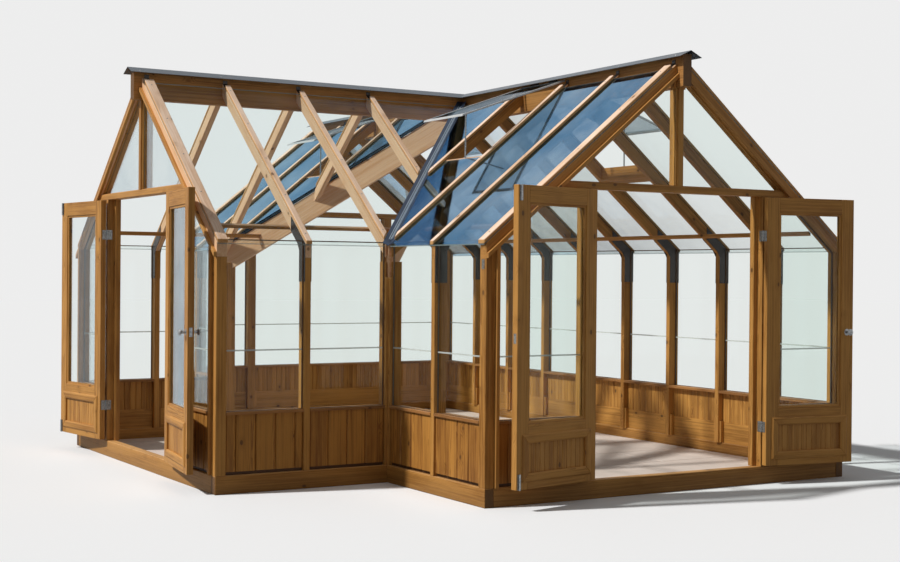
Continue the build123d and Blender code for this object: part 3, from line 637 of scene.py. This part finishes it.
# Sill rails: a flat cap over each knee wall, the same timber, darker where the
# rain lies on it.
sill_timber = timber("oiled_sills", colour(176, 122, 68), colour(110, 72, 34), PALE_TONE, bleach_and_light_top=0.1)
finish(nodes["sill_rails"], sill_timber)
as_sticks(nodes["sill_rails"])


# Wall and gable glass: clear float glass set in grooves, with a thin line of sealant
# round the wall panes and timber beads in the gable triangles. Its cut edges are dull.
BEAD_WIDTH = 0.016
BEAD_LAP = 0.0045
BEAD_THICKNESS = 0.012
GABLE_BEAD = 0.009
SEAL_WIDTH = 0.0075
SEAL_THICKNESS = 0.003


def clear_glass(name, tint, mirror, mirror_pale, most):
    """Thin sheet: see-through when it is faced, and more of a mirror the flatter it is looked at. The mirror
    is tinted in two drifting tones: a painted reflection.
    """
    material, tree, shader = new_material(name)
    tree.nodes.remove(shader)
    output = tree.nodes["Material Output"]
    see = tree.nodes.new("ShaderNodeBsdfTransparent")
    see.inputs["Color"].default_value = (*tint, 1)
    shine = tree.nodes.new("ShaderNodeBsdfGlossy")
    shine.inputs["Roughness"].default_value = 0.03
    slant = tree.nodes.new("ShaderNodeLayerWeight")
    slant.inputs["Blend"].default_value = 0.5
    place = place_of(tree)
    clouds = noise(tree, place, 1.1, 4.0, 0.6)
    # Smears vary the gloss: partly dirt on the glass, partly painted streaks of reflection.
    smears_and_reflection_streaks = noise(tree, vectors(tree, "MULTIPLY", place, (1.0, 1.0, 0.6)), 7.0, 5.0, 0.6)
    # The gloss colour is a painted reflection: two given tints drifting in cloudy patches.
    feed(tree, shine.inputs["Color"], blend(tree, span(tree, clouds, 0.35, 0.68), mirror, mirror_pale))
    share = span(tree, slant.outputs["Facing"], 0.50, 0.80, 0.012, most, smooth=True)
    share = times(tree, share, span(tree, smears_and_reflection_streaks, 0.3, 0.7, 0.85, 1.1))
    bump(tree, shine, noise(tree, place, 3.0, 1.0), 0.002, 0.1)
    mixed = tree.nodes.new("ShaderNodeMixShader")
    feed(tree, mixed.inputs[0], share)
    feed(tree, mixed.inputs[1], see.outputs[0])
    feed(tree, mixed.inputs[2], shine.outputs[0])
    feed(tree, output.inputs["Surface"], mixed.outputs[0])
    return material


def mottled(name, scale, first, second, rough, alpha=1.0):
    """Plain material in two tones that drift into each other."""
    material, tree, shader = new_material(name)
    feed(tree, shader.inputs["Base Color"], blend(tree, noise(tree, place_of(tree), scale), first, second))
    shader.inputs["Roughness"].default_value = rough
    shader.inputs["Alpha"].default_value = alpha
    return material


def edge_group(material):
    """Node group that gives the faces across each sheet's thickness their own material."""
    tree, given, result, island = group_for_solids("sheet_edges")
    area = tree.nodes.new("GeometryNodeInputMeshFaceArea").outputs[0]
    normal = tree.nodes.new("GeometryNodeInputNormal").outputs["Normal"]
    facing = strongest(tree, vectors(tree, "SCALE", normal, area), normal, island, "FACE")
    flatness = maths(tree, "ABSOLUTE", dot(tree, facing, normal))
    edge = tree.nodes.new("FunctionNodeCompare")
    edge.operation = "LESS_THAN"
    feed(tree, edge.inputs[0], flatness)
    edge.inputs[1].default_value = 0.7
    paint = tree.nodes.new("GeometryNodeSetMaterial")
    paint.inputs["Material"].default_value = material
    feed(tree, paint.inputs["Geometry"], given.outputs[0])
    feed(tree, paint.inputs["Selection"], edge.outputs[0])
    feed(tree, result.inputs[0], paint.outputs[0])
    return tree


EDGES = edge_group(mottled("glass_edge", 60.0, colour(126, 146, 142), colour(178, 192, 190), 0.3, 0.5))


def glaze(node, material):
    """Glass on a node's sheets, with the dull grey green of ground glass on their edges."""
    finish(nodes[node], material)
    nodes[node].modifiers.new("weld", "WELD").merge_threshold = WELD
    nodes[node].modifiers.new("edges", "NODES").node_group = EDGES


def normal_of(face):
    """Area vector of a triangle."""
    return (face[1] - face[0]).cross(face[2] - face[0])


def ring_of(faces, run):
    """Outline of a flat upright group of triangles, as points along run and up, going round to the left."""
    sides = {}
    for face in faces:
        spots = [(round(p.dot(run), 5), round(p.z, 5)) for p in face]
        for a, b in zip(spots, spots[1:] + spots[:1]):
            if (b, a) in sides:
                del sides[b, a]
            else:
                sides[a, b] = True
    onward = {a: b for a, b in sides}
    ring = [min(onward)]
    while onward[ring[-1]] != ring[0]:
        ring.append(onward[ring[-1]])
    ring = [Vector(spot) for spot in ring]
    kept = []
    for i, spot in enumerate(ring):
        before = (spot - ring[i - 1]).normalized()
        after = (ring[(i + 1) % len(ring)] - spot).normalized()
        if abs(before.cross(after)) > 0.01:
            kept.append(spot)
    return kept


def sheet_of(solid, face=None):
    """Outline, run, face direction, middle plane and thickness of a flat upright sheet."""
    if face is None:
        face = max((normal_of(f) for f in solid), key=lambda normal: normal.length).normalized()
    run = UP.cross(face)
    back, front = extent(points_of(solid), face)
    outer = [f for f in solid if normal_of(f).normalized().dot(face) > 0.99 and f[0].dot(face) > front - WELD]
    return ring_of(outer, run), run, face, (back + front) / 2, front - back


def shrunk(ring, inset):
    """An outline with every side moved inwards."""
    lines = []
    for i, a in enumerate(ring):
        b = ring[(i + 1) % len(ring)]
        normal = Vector((a.y - b.y, b.x - a.x)).normalized()
        lines.append((normal, normal.dot(a) + inset))
    moved = []
    for i in range(len(ring)):
        (n0, d0), (n1, d1) = lines[i - 1], lines[i]
        cross = n0.x * n1.y - n0.y * n1.x
        moved.append(Vector(((d0 * n1.y - d1 * n0.y) / cross, (n0.x * d1 - n1.x * d0) / cross)))
    return moved


def beads_round(mesh, solid, lap, width, thickness):
    """Mitred beads round a sheet, on both of its faces."""
    ring, run, face, middle, sheet = sheet_of(solid)
    outer = shrunk(ring, -lap)
    inner = shrunk(ring, width - lap)
    for hand in (-1, 1):
        seat = face * (middle + hand * (sheet / 2 + BEAD_SEAT))
        for i in range(len(ring)):
            after = (i + 1) % len(ring)
            corners = [outer[i], outer[after], inner[after], inner[i]]
            prism(mesh, [run * x + UP * z + seat for x, z in corners], face * (hand * thickness))


# The wall glass gloss is tinted grey blue: a painted reflection of sky.
window = clear_glass("window_glass", (0.96, 0.98, 0.97), (0.62, 0.70, 0.76), (0.80, 0.85, 0.88), 0.55)
beads = bmesh.new()
seals = bmesh.new()
for name, mesh, width, thickness in (
    ("wall_glass_long", seals, SEAL_WIDTH, SEAL_THICKNESS),
    ("wall_glass_cross", seals, SEAL_WIDTH, SEAL_THICKNESS),
    ("gable_glass", beads, GABLE_BEAD, BEAD_THICKNESS),
):
    glaze(name, window)
    for solid in solids_of(name):
        beads_round(mesh, solid, BEAD_LAP, width, thickness)
sealant = mottled("brown_sealant", 90.0, colour(112, 76, 42), colour(84, 56, 32), 0.55)
new_piece("glazing_seals", seals, sealant, "greenhouse")
bead_timber = timber("oiled_beads", colour(206, 151, 80), colour(148, 97, 40), PALE_TONE)
glazing_beads = new_piece("glazing_beads", beads, bead_timber, "greenhouse")
as_sticks(glazing_beads, 0)


# Joint strips: each wall pane is two sheets, one over the other, that meet in a
# thin clear H-shaped strip.
JOINT_HEIGHT = 0.955
JOINT_STRIP = 0.010
JOINT_PROUD = 0.0025

strips = bmesh.new()
for name in ("wall_glass_long", "wall_glass_cross"):
    for solid in solids_of(name):
        ring, run, face, middle, sheet = sheet_of(solid)
        left = min(x for x, z in ring) + SEAL_WIDTH
        right = max(x for x, z in ring) - SEAL_WIDTH
        half = sheet / 2 + JOINT_PROUD
        start = run * left + face * (middle - half) + UP * JOINT_HEIGHT
        bar(strips, start, face * (2 * half), UP * JOINT_STRIP, run * (right - left))
strip_plastic = mottled("strip_plastic", 35.0, colour(232, 238, 236), colour(206, 216, 214), 0.3, 0.55)
new_piece("glass_joint_strips", strips, strip_plastic, "greenhouse")


# Rafters: 45 by 77 softwood. Those of the wing and the valley rafters lie in the
# sun under the glass and have bleached to a pale rose, with small dark knots. Their
# pale rose is partly that bleach and partly painted sunlight.
ROSE = colour(246, 208, 168)
ROSE_DARK = colour(222, 168, 118)
ROSE_PALEST = colour(252, 230, 214)
SHADED = colour(196, 141, 73)
SHADED_DARK = colour(136, 89, 36)
bleached_and_sunlit = timber("bleached_sunlit_rafters", ROSE, ROSE_DARK, ROSE_PALEST, bleach_and_light_top=0.7, fade_all=0.1)
shaded = timber("shaded_rafters", SHADED, SHADED_DARK, ROSE_PALEST, bleach_and_light_top=0.5)
for name, stain in (
    ("rafters_wing", bleached_and_sunlit),
    ("rafters_left", shaded),
    ("rafters_right", shaded),
    ("valley_rafters", bleached_and_sunlit),
    ("hanging_rails", shaded),
    ("vent_curbs", shaded),
):
    finish(nodes[name], stain)
    as_sticks(nodes[name])


# Gable trim: a narrow batten planted along the lower edge of each gable rafter
# and the inner edge of each corner post, where the gable glass is bedded.
TRIM_WIDTH = 0.026
TRIM_PROUD = 0.022
TRIM_ARRIS = 0.0015
NEAR_ENOUGH = 0.001
GABLE_PLANE = -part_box("corner_posts")[0].y


def cut_to_band(ring, start, inward, width):
    """The part of an outline that lies within a width of the line through start."""
    kept = []
    for i, a in enumerate(ring):
        b = ring[(i + 1) % len(ring)]
        from_a = (a - start).dot(inward) - width
        from_b = (b - start).dot(inward) - width
        if from_a <= 0:
            kept.append(a)
        if from_a * from_b < 0:
            kept.append(a + (b - a) * (from_a / (from_a - from_b)))
    return kept


def trim_along(mesh, solid, out, pick):
    """Batten on a solid's outer face, along the edge of the face that pick scores highest."""
    ring, run, face, middle, thickness = sheet_of(solid, out)
    sides = []
    for i, a in enumerate(ring):
        b = ring[(i + 1) % len(ring)]
        inward = Vector((a.y - b.y, b.x - a.x)).normalized()
        sides.append((pick(inward, (a + b) / 2) * (b - a).length, i, inward))
    _, i, inward = max(sides, key=lambda entry: entry[0])
    band = cut_to_band(ring, ring[i], inward, TRIM_WIDTH)
    seat = face * (middle + thickness / 2 + BEAD_SEAT)
    prism(mesh, [run * x + UP * z + seat for x, z in band], face * TRIM_PROUD)


def faces_gable(solid, out):
    """Whether a solid reaches the outer plane of the gable on that side."""
    return max(p.dot(out) for p in points_of(solid)) > GABLE_PLANE - NEAR_ENOUGH


def underneath(inward, middle):
    """High for a side whose inside is above it, which is the lower edge."""
    return inward.y


def towards_middle(inward, middle):
    """High for the side that faces the middle of the gable."""
    return inward.x * math.copysign(1, middle.x)


trims = bmesh.new()
for out, rafter_nodes in (
    (Vector((0, -1, 0)), ("rafters_left", "rafters_right")),
    (Vector((0, 1, 0)), ("rafters_left", "rafters_right")),
    (Vector((-1, 0, 0)), ("rafters_wing",)),
):
    for name in rafter_nodes:
        for solid in solids_of(name):
            if faces_gable(solid, out):
                trim_along(trims, solid, out, underneath)
    for solid in solids_of("corner_posts"):
        if faces_gable(solid, out):
            trim_along(trims, solid, out, towards_middle)
gable_trims = new_piece("gable_trims", trims, bead_timber, "greenhouse")
as_sticks(gable_trims, TRIM_ARRIS)


# Ridge beams: deep planks on edge that run past the gables, with the rafters
# butted against them, each under a small black angle bracket.
RIDGE_ARRIS = 0.003
BRACKET_RUN = 0.03634
BRACKET_DROP = 0.02944
BRACKET_RISE = 0.026
BRACKET_SHEET = 0.003
BRACKET_WIDTH = 0.036
BRACKET_PROFILE = [
    (0, 0),
    (BRACKET_RUN, -BRACKET_DROP),
    (BRACKET_RUN, BRACKET_SHEET - BRACKET_DROP),
    (BRACKET_SHEET, BRACKET_SHEET),
    (BRACKET_SHEET, BRACKET_RISE),
    (0, BRACKET_RISE),
]
ridge_timber = timber("oiled_ridge_beams", colour(190, 136, 74), colour(124, 82, 38), PALE_TONE)
for name in ("ridge_beam_main", "ridge_beam_wing"):
    finish(nodes[name], ridge_timber)
    as_sticks(nodes[name], RIDGE_ARRIS)


def coated_steel(name, fresh, dull, metallic=0.35):
    """Coated sheet that rain has streaked and dust has dulled."""
    material, tree, shader = new_material(name)
    place = place_of(tree)
    runs = noise(tree, vectors(tree, "MULTIPLY", place, (9.0, 9.0, 1.4)), 1.6, 4.0)
    dust = noise(tree, place, 90.0, 2.0)
    tone = add(tree, span(tree, runs, 0.3, 0.7, 0.0, 0.8), span(tree, dust, 0.35, 0.7, 0.0, 0.25))
    feed(tree, shader.inputs["Base Color"], blend(tree, tone, fresh, dull))
    feed(tree, shader.inputs["Roughness"], span(tree, runs, 0.3, 0.7, 0.32, 0.5))
    shader.inputs["Metallic"].default_value = metallic
    bump(tree, shader, dust, 0.0002, 0.3)
    return material


black_steel = coated_steel("black_steel", colour(34, 29, 27), colour(60, 50, 44), 0.1)
brackets = bmesh.new()
for name in ("rafters_left", "rafters_right", "rafters_wing"):
    for solid in solids_of(name):
        points = points_of(solid)
        head = max(p.z for p in points)
        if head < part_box("rafters_right")[1].z - NEAR_ENOUGH:
            continue
        crown = [p for p in points if p.z > head - NEAR_ENOUGH]
        foot = min(points, key=lambda p: p.z)
        middle = sum(crown, Vector()) / len(crown)
        away = foot - middle
        away.z = 0
        away[0 if name == "rafters_wing" else 1] = 0
        away.normalize()
        across = UP.cross(away)
        origin = middle - across * (BRACKET_WIDTH / 2) + UP * BEAD_SEAT + away * BEAD_SEAT
        outline = [origin + away * forward + UP * rise for forward, rise in BRACKET_PROFILE]
        prism(brackets, outline, across * BRACKET_WIDTH)
new_piece("rafter_brackets", brackets, black_steel, "greenhouse")


# Roof glass: large sheets of clear float glass laid on the rafters and held down
# by the glazing strips. Looked at flat they have a pale blue shine, a painted
# reflection of sky in tints that drift; the vent glass has a painted grey one.
roof_window = clear_glass("roof_glass", (0.965, 0.985, 0.98), colour(98, 144, 182),
                          colour(156, 186, 210), 0.94)
vent_window = clear_glass("vent_glass", (0.93, 0.95, 0.95), colour(128, 144, 156),
                          colour(180, 184, 190), 0.7)
for name in ("roof_glass_right", "roof_glass_left", "roof_glass_wing"):
    glaze(name, roof_window)
glaze("vent_glass", vent_window)


# Glazing strips: planed battens screwed down over the joints of the roof glass,
# bleached like the rafters under them, with a pan-head screw every 40 cm. Their
# tops are paler, partly bleach and partly a painted highlight, and their sides
# are kept darker as painted shade.
SCREW_STEP = 0.40
SCREW_RADIUS = 0.005
SCREW_RISE = 0.0024
STRIP_SCREW_END = 0.08
STRIP_ARRIS = 0.003
FLUSH = 0.0005
strip_timber = timber("oiled_strips", colour(214, 164, 106), colour(166, 116, 62), ROSE_PALEST, bleach_and_light_top=0.95)
finish(nodes["glazing_strips"], strip_timber)
as_sticks(nodes["glazing_strips"], STRIP_ARRIS)


def screw(mesh, at, out, radius=SCREW_RADIUS, rise=SCREW_RISE):
    """Pan head with a round recess, sitting on a face."""
    side = out.orthogonal().normalized()
    other = out.cross(side)
    rings = []
    for share, height in ((1.0, 0.0), (1.0, 0.35), (0.72, 0.9), (0.36, 1.0), (0.30, 0.35)):
        ring = []
        for i in range(10):
            turn = 2 * math.pi * i / 10
            spoke = side * math.cos(turn) + other * math.sin(turn)
            ring.append(mesh.verts.new(at + spoke * (radius * share) + out * (rise * height)))
        rings.append(ring)
    skin(mesh, rings)


def upper_face(faces):
    """Direction, level and corner points of the largest of some faces."""
    out = normal_of(max(faces, key=lambda face: normal_of(face).length)).normalized()
    level = max(p.dot(out) for p in points_of(faces))
    return out, level, [p for p in points_of(faces) if p.dot(out) > level - FLUSH]


def top_line(solid):
    """The two ends of the middle line of a sloping batten's upper face, and that face's direction."""
    out, level, spots = upper_face([f for f in solid if normal_of(f).normalized().z > 0.5])
    along = (UP - out * out.z).normalized()
    across = out.cross(along)
    base = across * (sum(extent(spots, across)) / 2) + out * level
    low, high = extent(spots, along)
    return base + along * low, base + along * high, out


zinc_screws = bmesh.new()
for solid in solids_of("glazing_strips"):
    low, high, out = top_line(solid)
    reach = (high - low).length - 2 * STRIP_SCREW_END
    if reach < 0.1:
        continue
    count = max(2, round(reach / SCREW_STEP) + 1)
    for i in range(count):
        along = STRIP_SCREW_END + reach * i / (count - 1)
        screw(zinc_screws, low + (high - low).normalized() * along, out)


# Valley gutters and ridge caps: folded steel sheet with a slate blue coating,
# dulled by rain and dust, screwed along the edges of the caps.
ROOF_PITCH = math.radians(39.3)
CAP_PITCH = math.radians(25)
CAP_SCREW = (0.006, 0.003)
CAP_SCREW_STEP = 0.62
CAP_SCREW_EDGE = 0.030
CAP_SCREW_END = 0.08
CAP_SCREW_CROSSING = 0.30
slate_steel = coated_steel("slate_steel", colour(50, 60, 72), colour(88, 98, 108))
gutter_steel = coated_steel("gutter_steel", colour(24, 35, 54), colour(56, 74, 100), 0.4)
# The gutter ribs are pale as a painted highlight: light lines along the dark gutter.
rib_highlight_steel = coated_steel("rib_highlight_steel", colour(140, 158, 178), colour(176, 188, 198), 0.4)
finish(nodes["valley_gutters"], gutter_steel)
RIB_WIDTH = 0.005
RIB_RISE = 0.004
RIB_PLACES = (0.07, 0.34, 0.66, 0.93)
RIB_FOOT = 0.12
RIB_SHORT = 0.20


def leans_along_x(face):
    """Whether a sloping face drops towards X more than towards Y."""
    normal = normal_of(face)
    return abs(normal.x) > abs(normal.y)


ribs = bmesh.new()
for solid in solids_of("valley_gutters"):
    for on_main_slope in (False, True):
        slope = [f for f in solid if normal_of(f).z > 0 and leans_along_x(f) == on_main_slope]
        out, level, spots = upper_face(slope)
        hand = math.copysign(1, sum(p.y for p in spots))
        along = Vector((-1, hand, -math.tan(ROOF_PITCH))).normalized()
        across = out.cross(along)
        near, far = extent(spots, across)
        low, high = extent(spots, along)
        for share in RIB_PLACES[2:] if across.z < 0 else RIB_PLACES[:2]:
            spot = near + (far - near) * share - RIB_WIDTH / 2
            start = along * (low + RIB_FOOT) + across * spot + out * (level + BEAD_SEAT)
            bar(ribs, start, across * RIB_WIDTH, out * RIB_RISE, along * (high - low - RIB_SHORT))
new_piece("gutter_ribs", ribs, rib_highlight_steel, "greenhouse")
for name, along, across, stop_short in (
    ("ridge_cap_main", Vector((0, 1, 0)), Vector((1, 0, 0)), CAP_SCREW_END),
    ("ridge_cap_wing", Vector((1, 0, 0)), Vector((0, 1, 0)), CAP_SCREW_CROSSING),
):
    finish(nodes[name], slate_steel)
    low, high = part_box(name)
    half = max(low.dot(across), high.dot(across))
    reach = half - CAP_SCREW_EDGE
    first = low.dot(along) + CAP_SCREW_END
    last = high.dot(along) - stop_short
    count = round((last - first) / CAP_SCREW_STEP) + 1
    for i in range(count):
        place = first + (last - first) * i / (count - 1)
        for hand in (-1, 1):
            if name == "ridge_cap_main" and hand == -1 and abs(place) < half:
                continue
            at = along * place + across * (hand * reach) + UP * (high.z - reach * math.tan(CAP_PITCH))
            out = across * (hand * math.sin(CAP_PITCH)) + UP * math.cos(CAP_PITCH)
            screw(zinc_screws, at, out, *CAP_SCREW)


# Gusset plates: cranked steel plates with a black coating, one on each side of
# a post and its rafter, held by round-headed screws.
GUSSET_SCREW = (0.0055, 0.003)
GUSSET_SCREW_INSET = 0.014
finish(nodes["frame_gussets"], black_steel)
black_screws = bmesh.new()
for solid in solids_of("frame_gussets"):
    ring, run, face, middle, sheet = sheet_of(solid)
    for hand in (-1, 1):
        seat = face * (middle + hand * sheet / 2)
        for x, z in shrunk(ring, GUSSET_SCREW_INSET):
            screw(black_screws, run * x + UP * z + seat, face * hand, *GUSSET_SCREW)
new_piece("gusset_screws", black_screws, black_steel, "greenhouse")


# Corner post plates: a small zinc plate with four screws at the head of each
# corner post of the main range, on its long side.
POST_PLATE_WIDTH = 0.030
POST_PLATE_HEIGHT = 0.062
POST_PLATE_SHEET = 0.002
POST_PLATE_DROP = 0.006
PLATE_SCREW = (0.0038, 0.0018)
PLATE_SCREWS_ACROSS = (0.25, 0.75)
PLATE_SCREWS_UP = (0.17, 0.83)


def zinc():
    """Bright zinc with faint crystal facets and thumb-dulled patches."""
    material, tree, shader = new_material("zinc")
    place = place_of(tree)
    facets = tree.nodes.new("ShaderNodeTexVoronoi")
    facets.inputs["Scale"].default_value = 160.0
    feed(tree, facets.inputs["Vector"], place)
    shade = parts_of(tree, facets.outputs["Color"])[0]
    feed(tree, shader.inputs["Base Color"], blend(tree, shade, colour(164, 166, 166), colour(112, 115, 118)))
    feed(tree, shader.inputs["Roughness"], span(tree, noise(tree, place, 40.0), 0.3, 0.7, 0.3, 0.48))
    shader.inputs["Metallic"].default_value = 0.8
    return material


zinc_finish = zinc()
plates = bmesh.new()
for solid in solids_of("corner_posts"):
    points = points_of(solid)
    middle = sum(points, Vector()) / len(points)
    if abs(middle.x) > abs(middle.y):
        continue
    out = Vector((math.copysign(1, middle.x), 0, 0))
    run = UP.cross(out)
    reach = max(p.dot(out) for p in points)
    side_points = [p for p in points if p.dot(out) > reach - WELD]
    centre = sum(extent(side_points, run)) / 2
    foot = max(p.z for p in side_points) - POST_PLATE_DROP - POST_PLATE_HEIGHT
    corner = run * (centre - POST_PLATE_WIDTH / 2) + out * (reach + BEAD_SEAT) + UP * foot
    bar(plates, corner, run * POST_PLATE_WIDTH, UP * POST_PLATE_HEIGHT, out * POST_PLATE_SHEET)
    for across_share in PLATE_SCREWS_ACROSS:
        for rise_share in PLATE_SCREWS_UP:
            at = run * (POST_PLATE_WIDTH * across_share) + UP * (POST_PLATE_HEIGHT * rise_share)
            screw(zinc_screws, corner + at + out * POST_PLATE_SHEET, out, *PLATE_SCREW)
new_piece("post_plates", plates, zinc_finish, "greenhouse")
new_piece("zinc_screws", zinc_screws, zinc_finish, "greenhouse")


# Vents: a folded aluminium sash on two black hinge flaps, propped by a thin rod
# from the curb.
finish(nodes["vent_openers"], zinc_finish)
sash_metal = coated_steel("sash_metal", colour(208, 211, 212), colour(180, 184, 187), 0.25)
finish(nodes["vent_sashes"], sash_metal)
FLAP_LENGTH = 0.115
FLAP_WIDTH = 0.030
FLAP_SHEET = 0.005
FLAP_DROP = 0.020
FLAP_PLACES = (0.28, 0.72)
BEAM_FACE = 0.0375
flaps = bmesh.new()
for solid in solids_of("vent_sashes"):
    points = points_of(solid)
    foot = max(p.z for p in points) - FLAP_DROP
    hand = math.copysign(1, sum(p.x for p in points))
    start, stop = extent(points, Vector((0, 1, 0)))
    for share in FLAP_PLACES:
        near = start + (stop - start) * share - FLAP_LENGTH / 2
        corner = Vector((hand * (BEAM_FACE + BEAD_SEAT), near, foot))
        bar(flaps, corner, Vector((0, FLAP_LENGTH, 0)), UP * FLAP_WIDTH, Vector((hand * FLAP_SHEET, 0, 0)))
new_piece("vent_flaps", flaps, black_steel, "greenhouse")


# Doors: each leaf is a frame of oiled softwood with a glass light over a panel
# that is reeded on both faces, hung on zinc butt hinges.
LEAVES = ("front_left", "front_right", "side_near", "side_far")
PANEL_REED = 0.042
PANEL_REED_THICKNESS = 0.0032
PANEL_REED_CUT = 0.0028
PANEL_REED_GAP = 0.0015
MOULDING_LAP = 0.03
leaf_timber = timber("oiled_leaves", colour(201, 146, 74), colour(146, 96, 38), PALE_TONE, bleach_and_light_top=0.1)
finish(nodes["door_hinges"], zinc_finish)


def panel_of(leaf):
    """The panel of a leaf, and half the width and height that its mouldings leave bare."""
    found = []
    for solid in solids_of(f"{leaf}_leaf"):
        points = points_of(solid)
        plan = {(round(p.x, 4), round(p.y, 4)) for p in points}
        if len(plan) == 4 and len({round(p.z, 4) for p in points}) == 2:
            found.append(plate_of(points))
    panel = min((plate for plate in found if plate[3] > 0.3), key=lambda plate: plate[5])
    middle, run, out, width, height, thickness = panel
    bare_side = width / 2
    bare_rise = height / 2
    for solid in solids_of(f"{leaf}_leaf"):
        points = points_of(solid)
        side_reach = [(p - middle).dot(run) for p in points]
        rise = [p.z - middle.z for p in points]
        deep = [(p - middle).dot(out) for p in points]
        beyond = max(max(map(abs, side_reach)) - width / 2, max(map(abs, rise)) - height / 2)
        if beyond >= MOULDING_LAP or min(map(abs, deep)) < thickness / 4:
            continue
        if max(rise) - min(rise) > max(side_reach) - min(side_reach):
            bare_side = min(bare_side, min(map(abs, side_reach)))
        else:
            bare_rise = min(bare_rise, min(map(abs, rise)))
    return panel, bare_side, bare_rise


for leaf in LEAVES:
    finish(nodes[f"{leaf}_leaf"], leaf_timber)
    as_sticks(nodes[f"{leaf}_leaf"])
    finish(nodes[f"{leaf}_fittings"], zinc_finish)
    glaze(f"{leaf}_glass", window)
    leaf_beads = bmesh.new()
    for solid in solids_of(f"{leaf}_glass"):
        beads_round(leaf_beads, solid, 0.0, BEAD_WIDTH, BEAD_THICKNESS)
    (middle, run, out, width, height, thickness), bare_side, bare_rise = panel_of(leaf)
    for hand in (-1, 1):
        face = out * hand
        start = middle - run * bare_side + face * (thickness / 2 + PANEL_REED_THICKNESS + BEAD_SEAT)
        board_row(leaf_beads, start, run, face, 2 * bare_side, PANEL_REED, middle.z - bare_rise,
                  middle.z + bare_rise, PANEL_REED_THICKNESS, PANEL_REED_CUT, PANEL_REED_GAP)
    beads_piece = new_piece(f"{leaf}_beads", leaf_beads, bead_timber, f"{leaf}_door")
    as_sticks(beads_piece, 0)


# Studio: a wide pale floor that throws little light back, a lamp high on the
# wing's side and an even pale surround.
FLOOR_REACH = 60.0
LAMP_FROM = Vector((-0.70, 0.16, 0.72))
LAMP_STRENGTH = 3.2
LAMP_SPREAD = math.radians(3)
SURROUND = 0.21
BACKGROUND = 0.85
BOUNCE = 0.16
FLOOR_SHOWN = (0.912, 0.942, 0.993)
LAMP_COLOUR = (1.0, 0.965, 0.91)

ground = bmesh.new()
bmesh.ops.create_grid(ground, x_segments=1, y_segments=1, size=FLOOR_REACH)
ground_mesh = bpy.data.meshes.new("studio_floor")
ground.to_mesh(ground_mesh)
ground.free()
studio_floor = bpy.data.objects.new("studio_floor", ground_mesh)
bpy.context.scene.collection.objects.link(studio_floor)


def seen_directly(tree):
    """One for rays from the camera, a mirror or a sheet of glass, and zero for light that is thrown back."""
    rays = tree.nodes.new("ShaderNodeLightPath")
    seen = maths(tree, "MAXIMUM", rays.outputs["Is Camera Ray"], rays.outputs["Is Glossy Ray"])
    return maths(tree, "MAXIMUM", seen, rays.outputs["Is Transmission Ray"])


pale_floor, tree, shader = new_material("studio_floor")
feed(tree, shader.inputs["Base Color"],
     blend(tree, seen_directly(tree), (BOUNCE, BOUNCE, BOUNCE), FLOOR_SHOWN))
shader.inputs["Roughness"].default_value = 0.95
shader.inputs["Specular IOR Level"].default_value = 0.0
ground_mesh.materials.append(pale_floor)

lamp = bpy.data.objects.new("lamp", bpy.data.lights.new("lamp", "SUN"))
lamp.data.energy = LAMP_STRENGTH
lamp.data.angle = LAMP_SPREAD
lamp.data.color = LAMP_COLOUR
lamp.rotation_euler = LAMP_FROM.to_track_quat("Z", "Y").to_euler()
bpy.context.scene.collection.objects.link(lamp)

world = bpy.data.worlds.new("surround")
bpy.context.scene.world = world
world.use_nodes = True
tree = world.node_tree
sky = tree.nodes["Background"]
seen = seen_directly(tree)
feed(tree, sky.inputs["Color"], blend(tree, seen, (1.0, 0.98, 0.94), (1.0, 1.0, 1.0)))
feed(tree, sky.inputs["Strength"], span(tree, seen, 0.0, 1.0, SURROUND, BACKGROUND))
bpy.context.scene.view_settings.view_transform = "Standard"
bpy.context.scene.cycles.transparent_max_bounces = 48
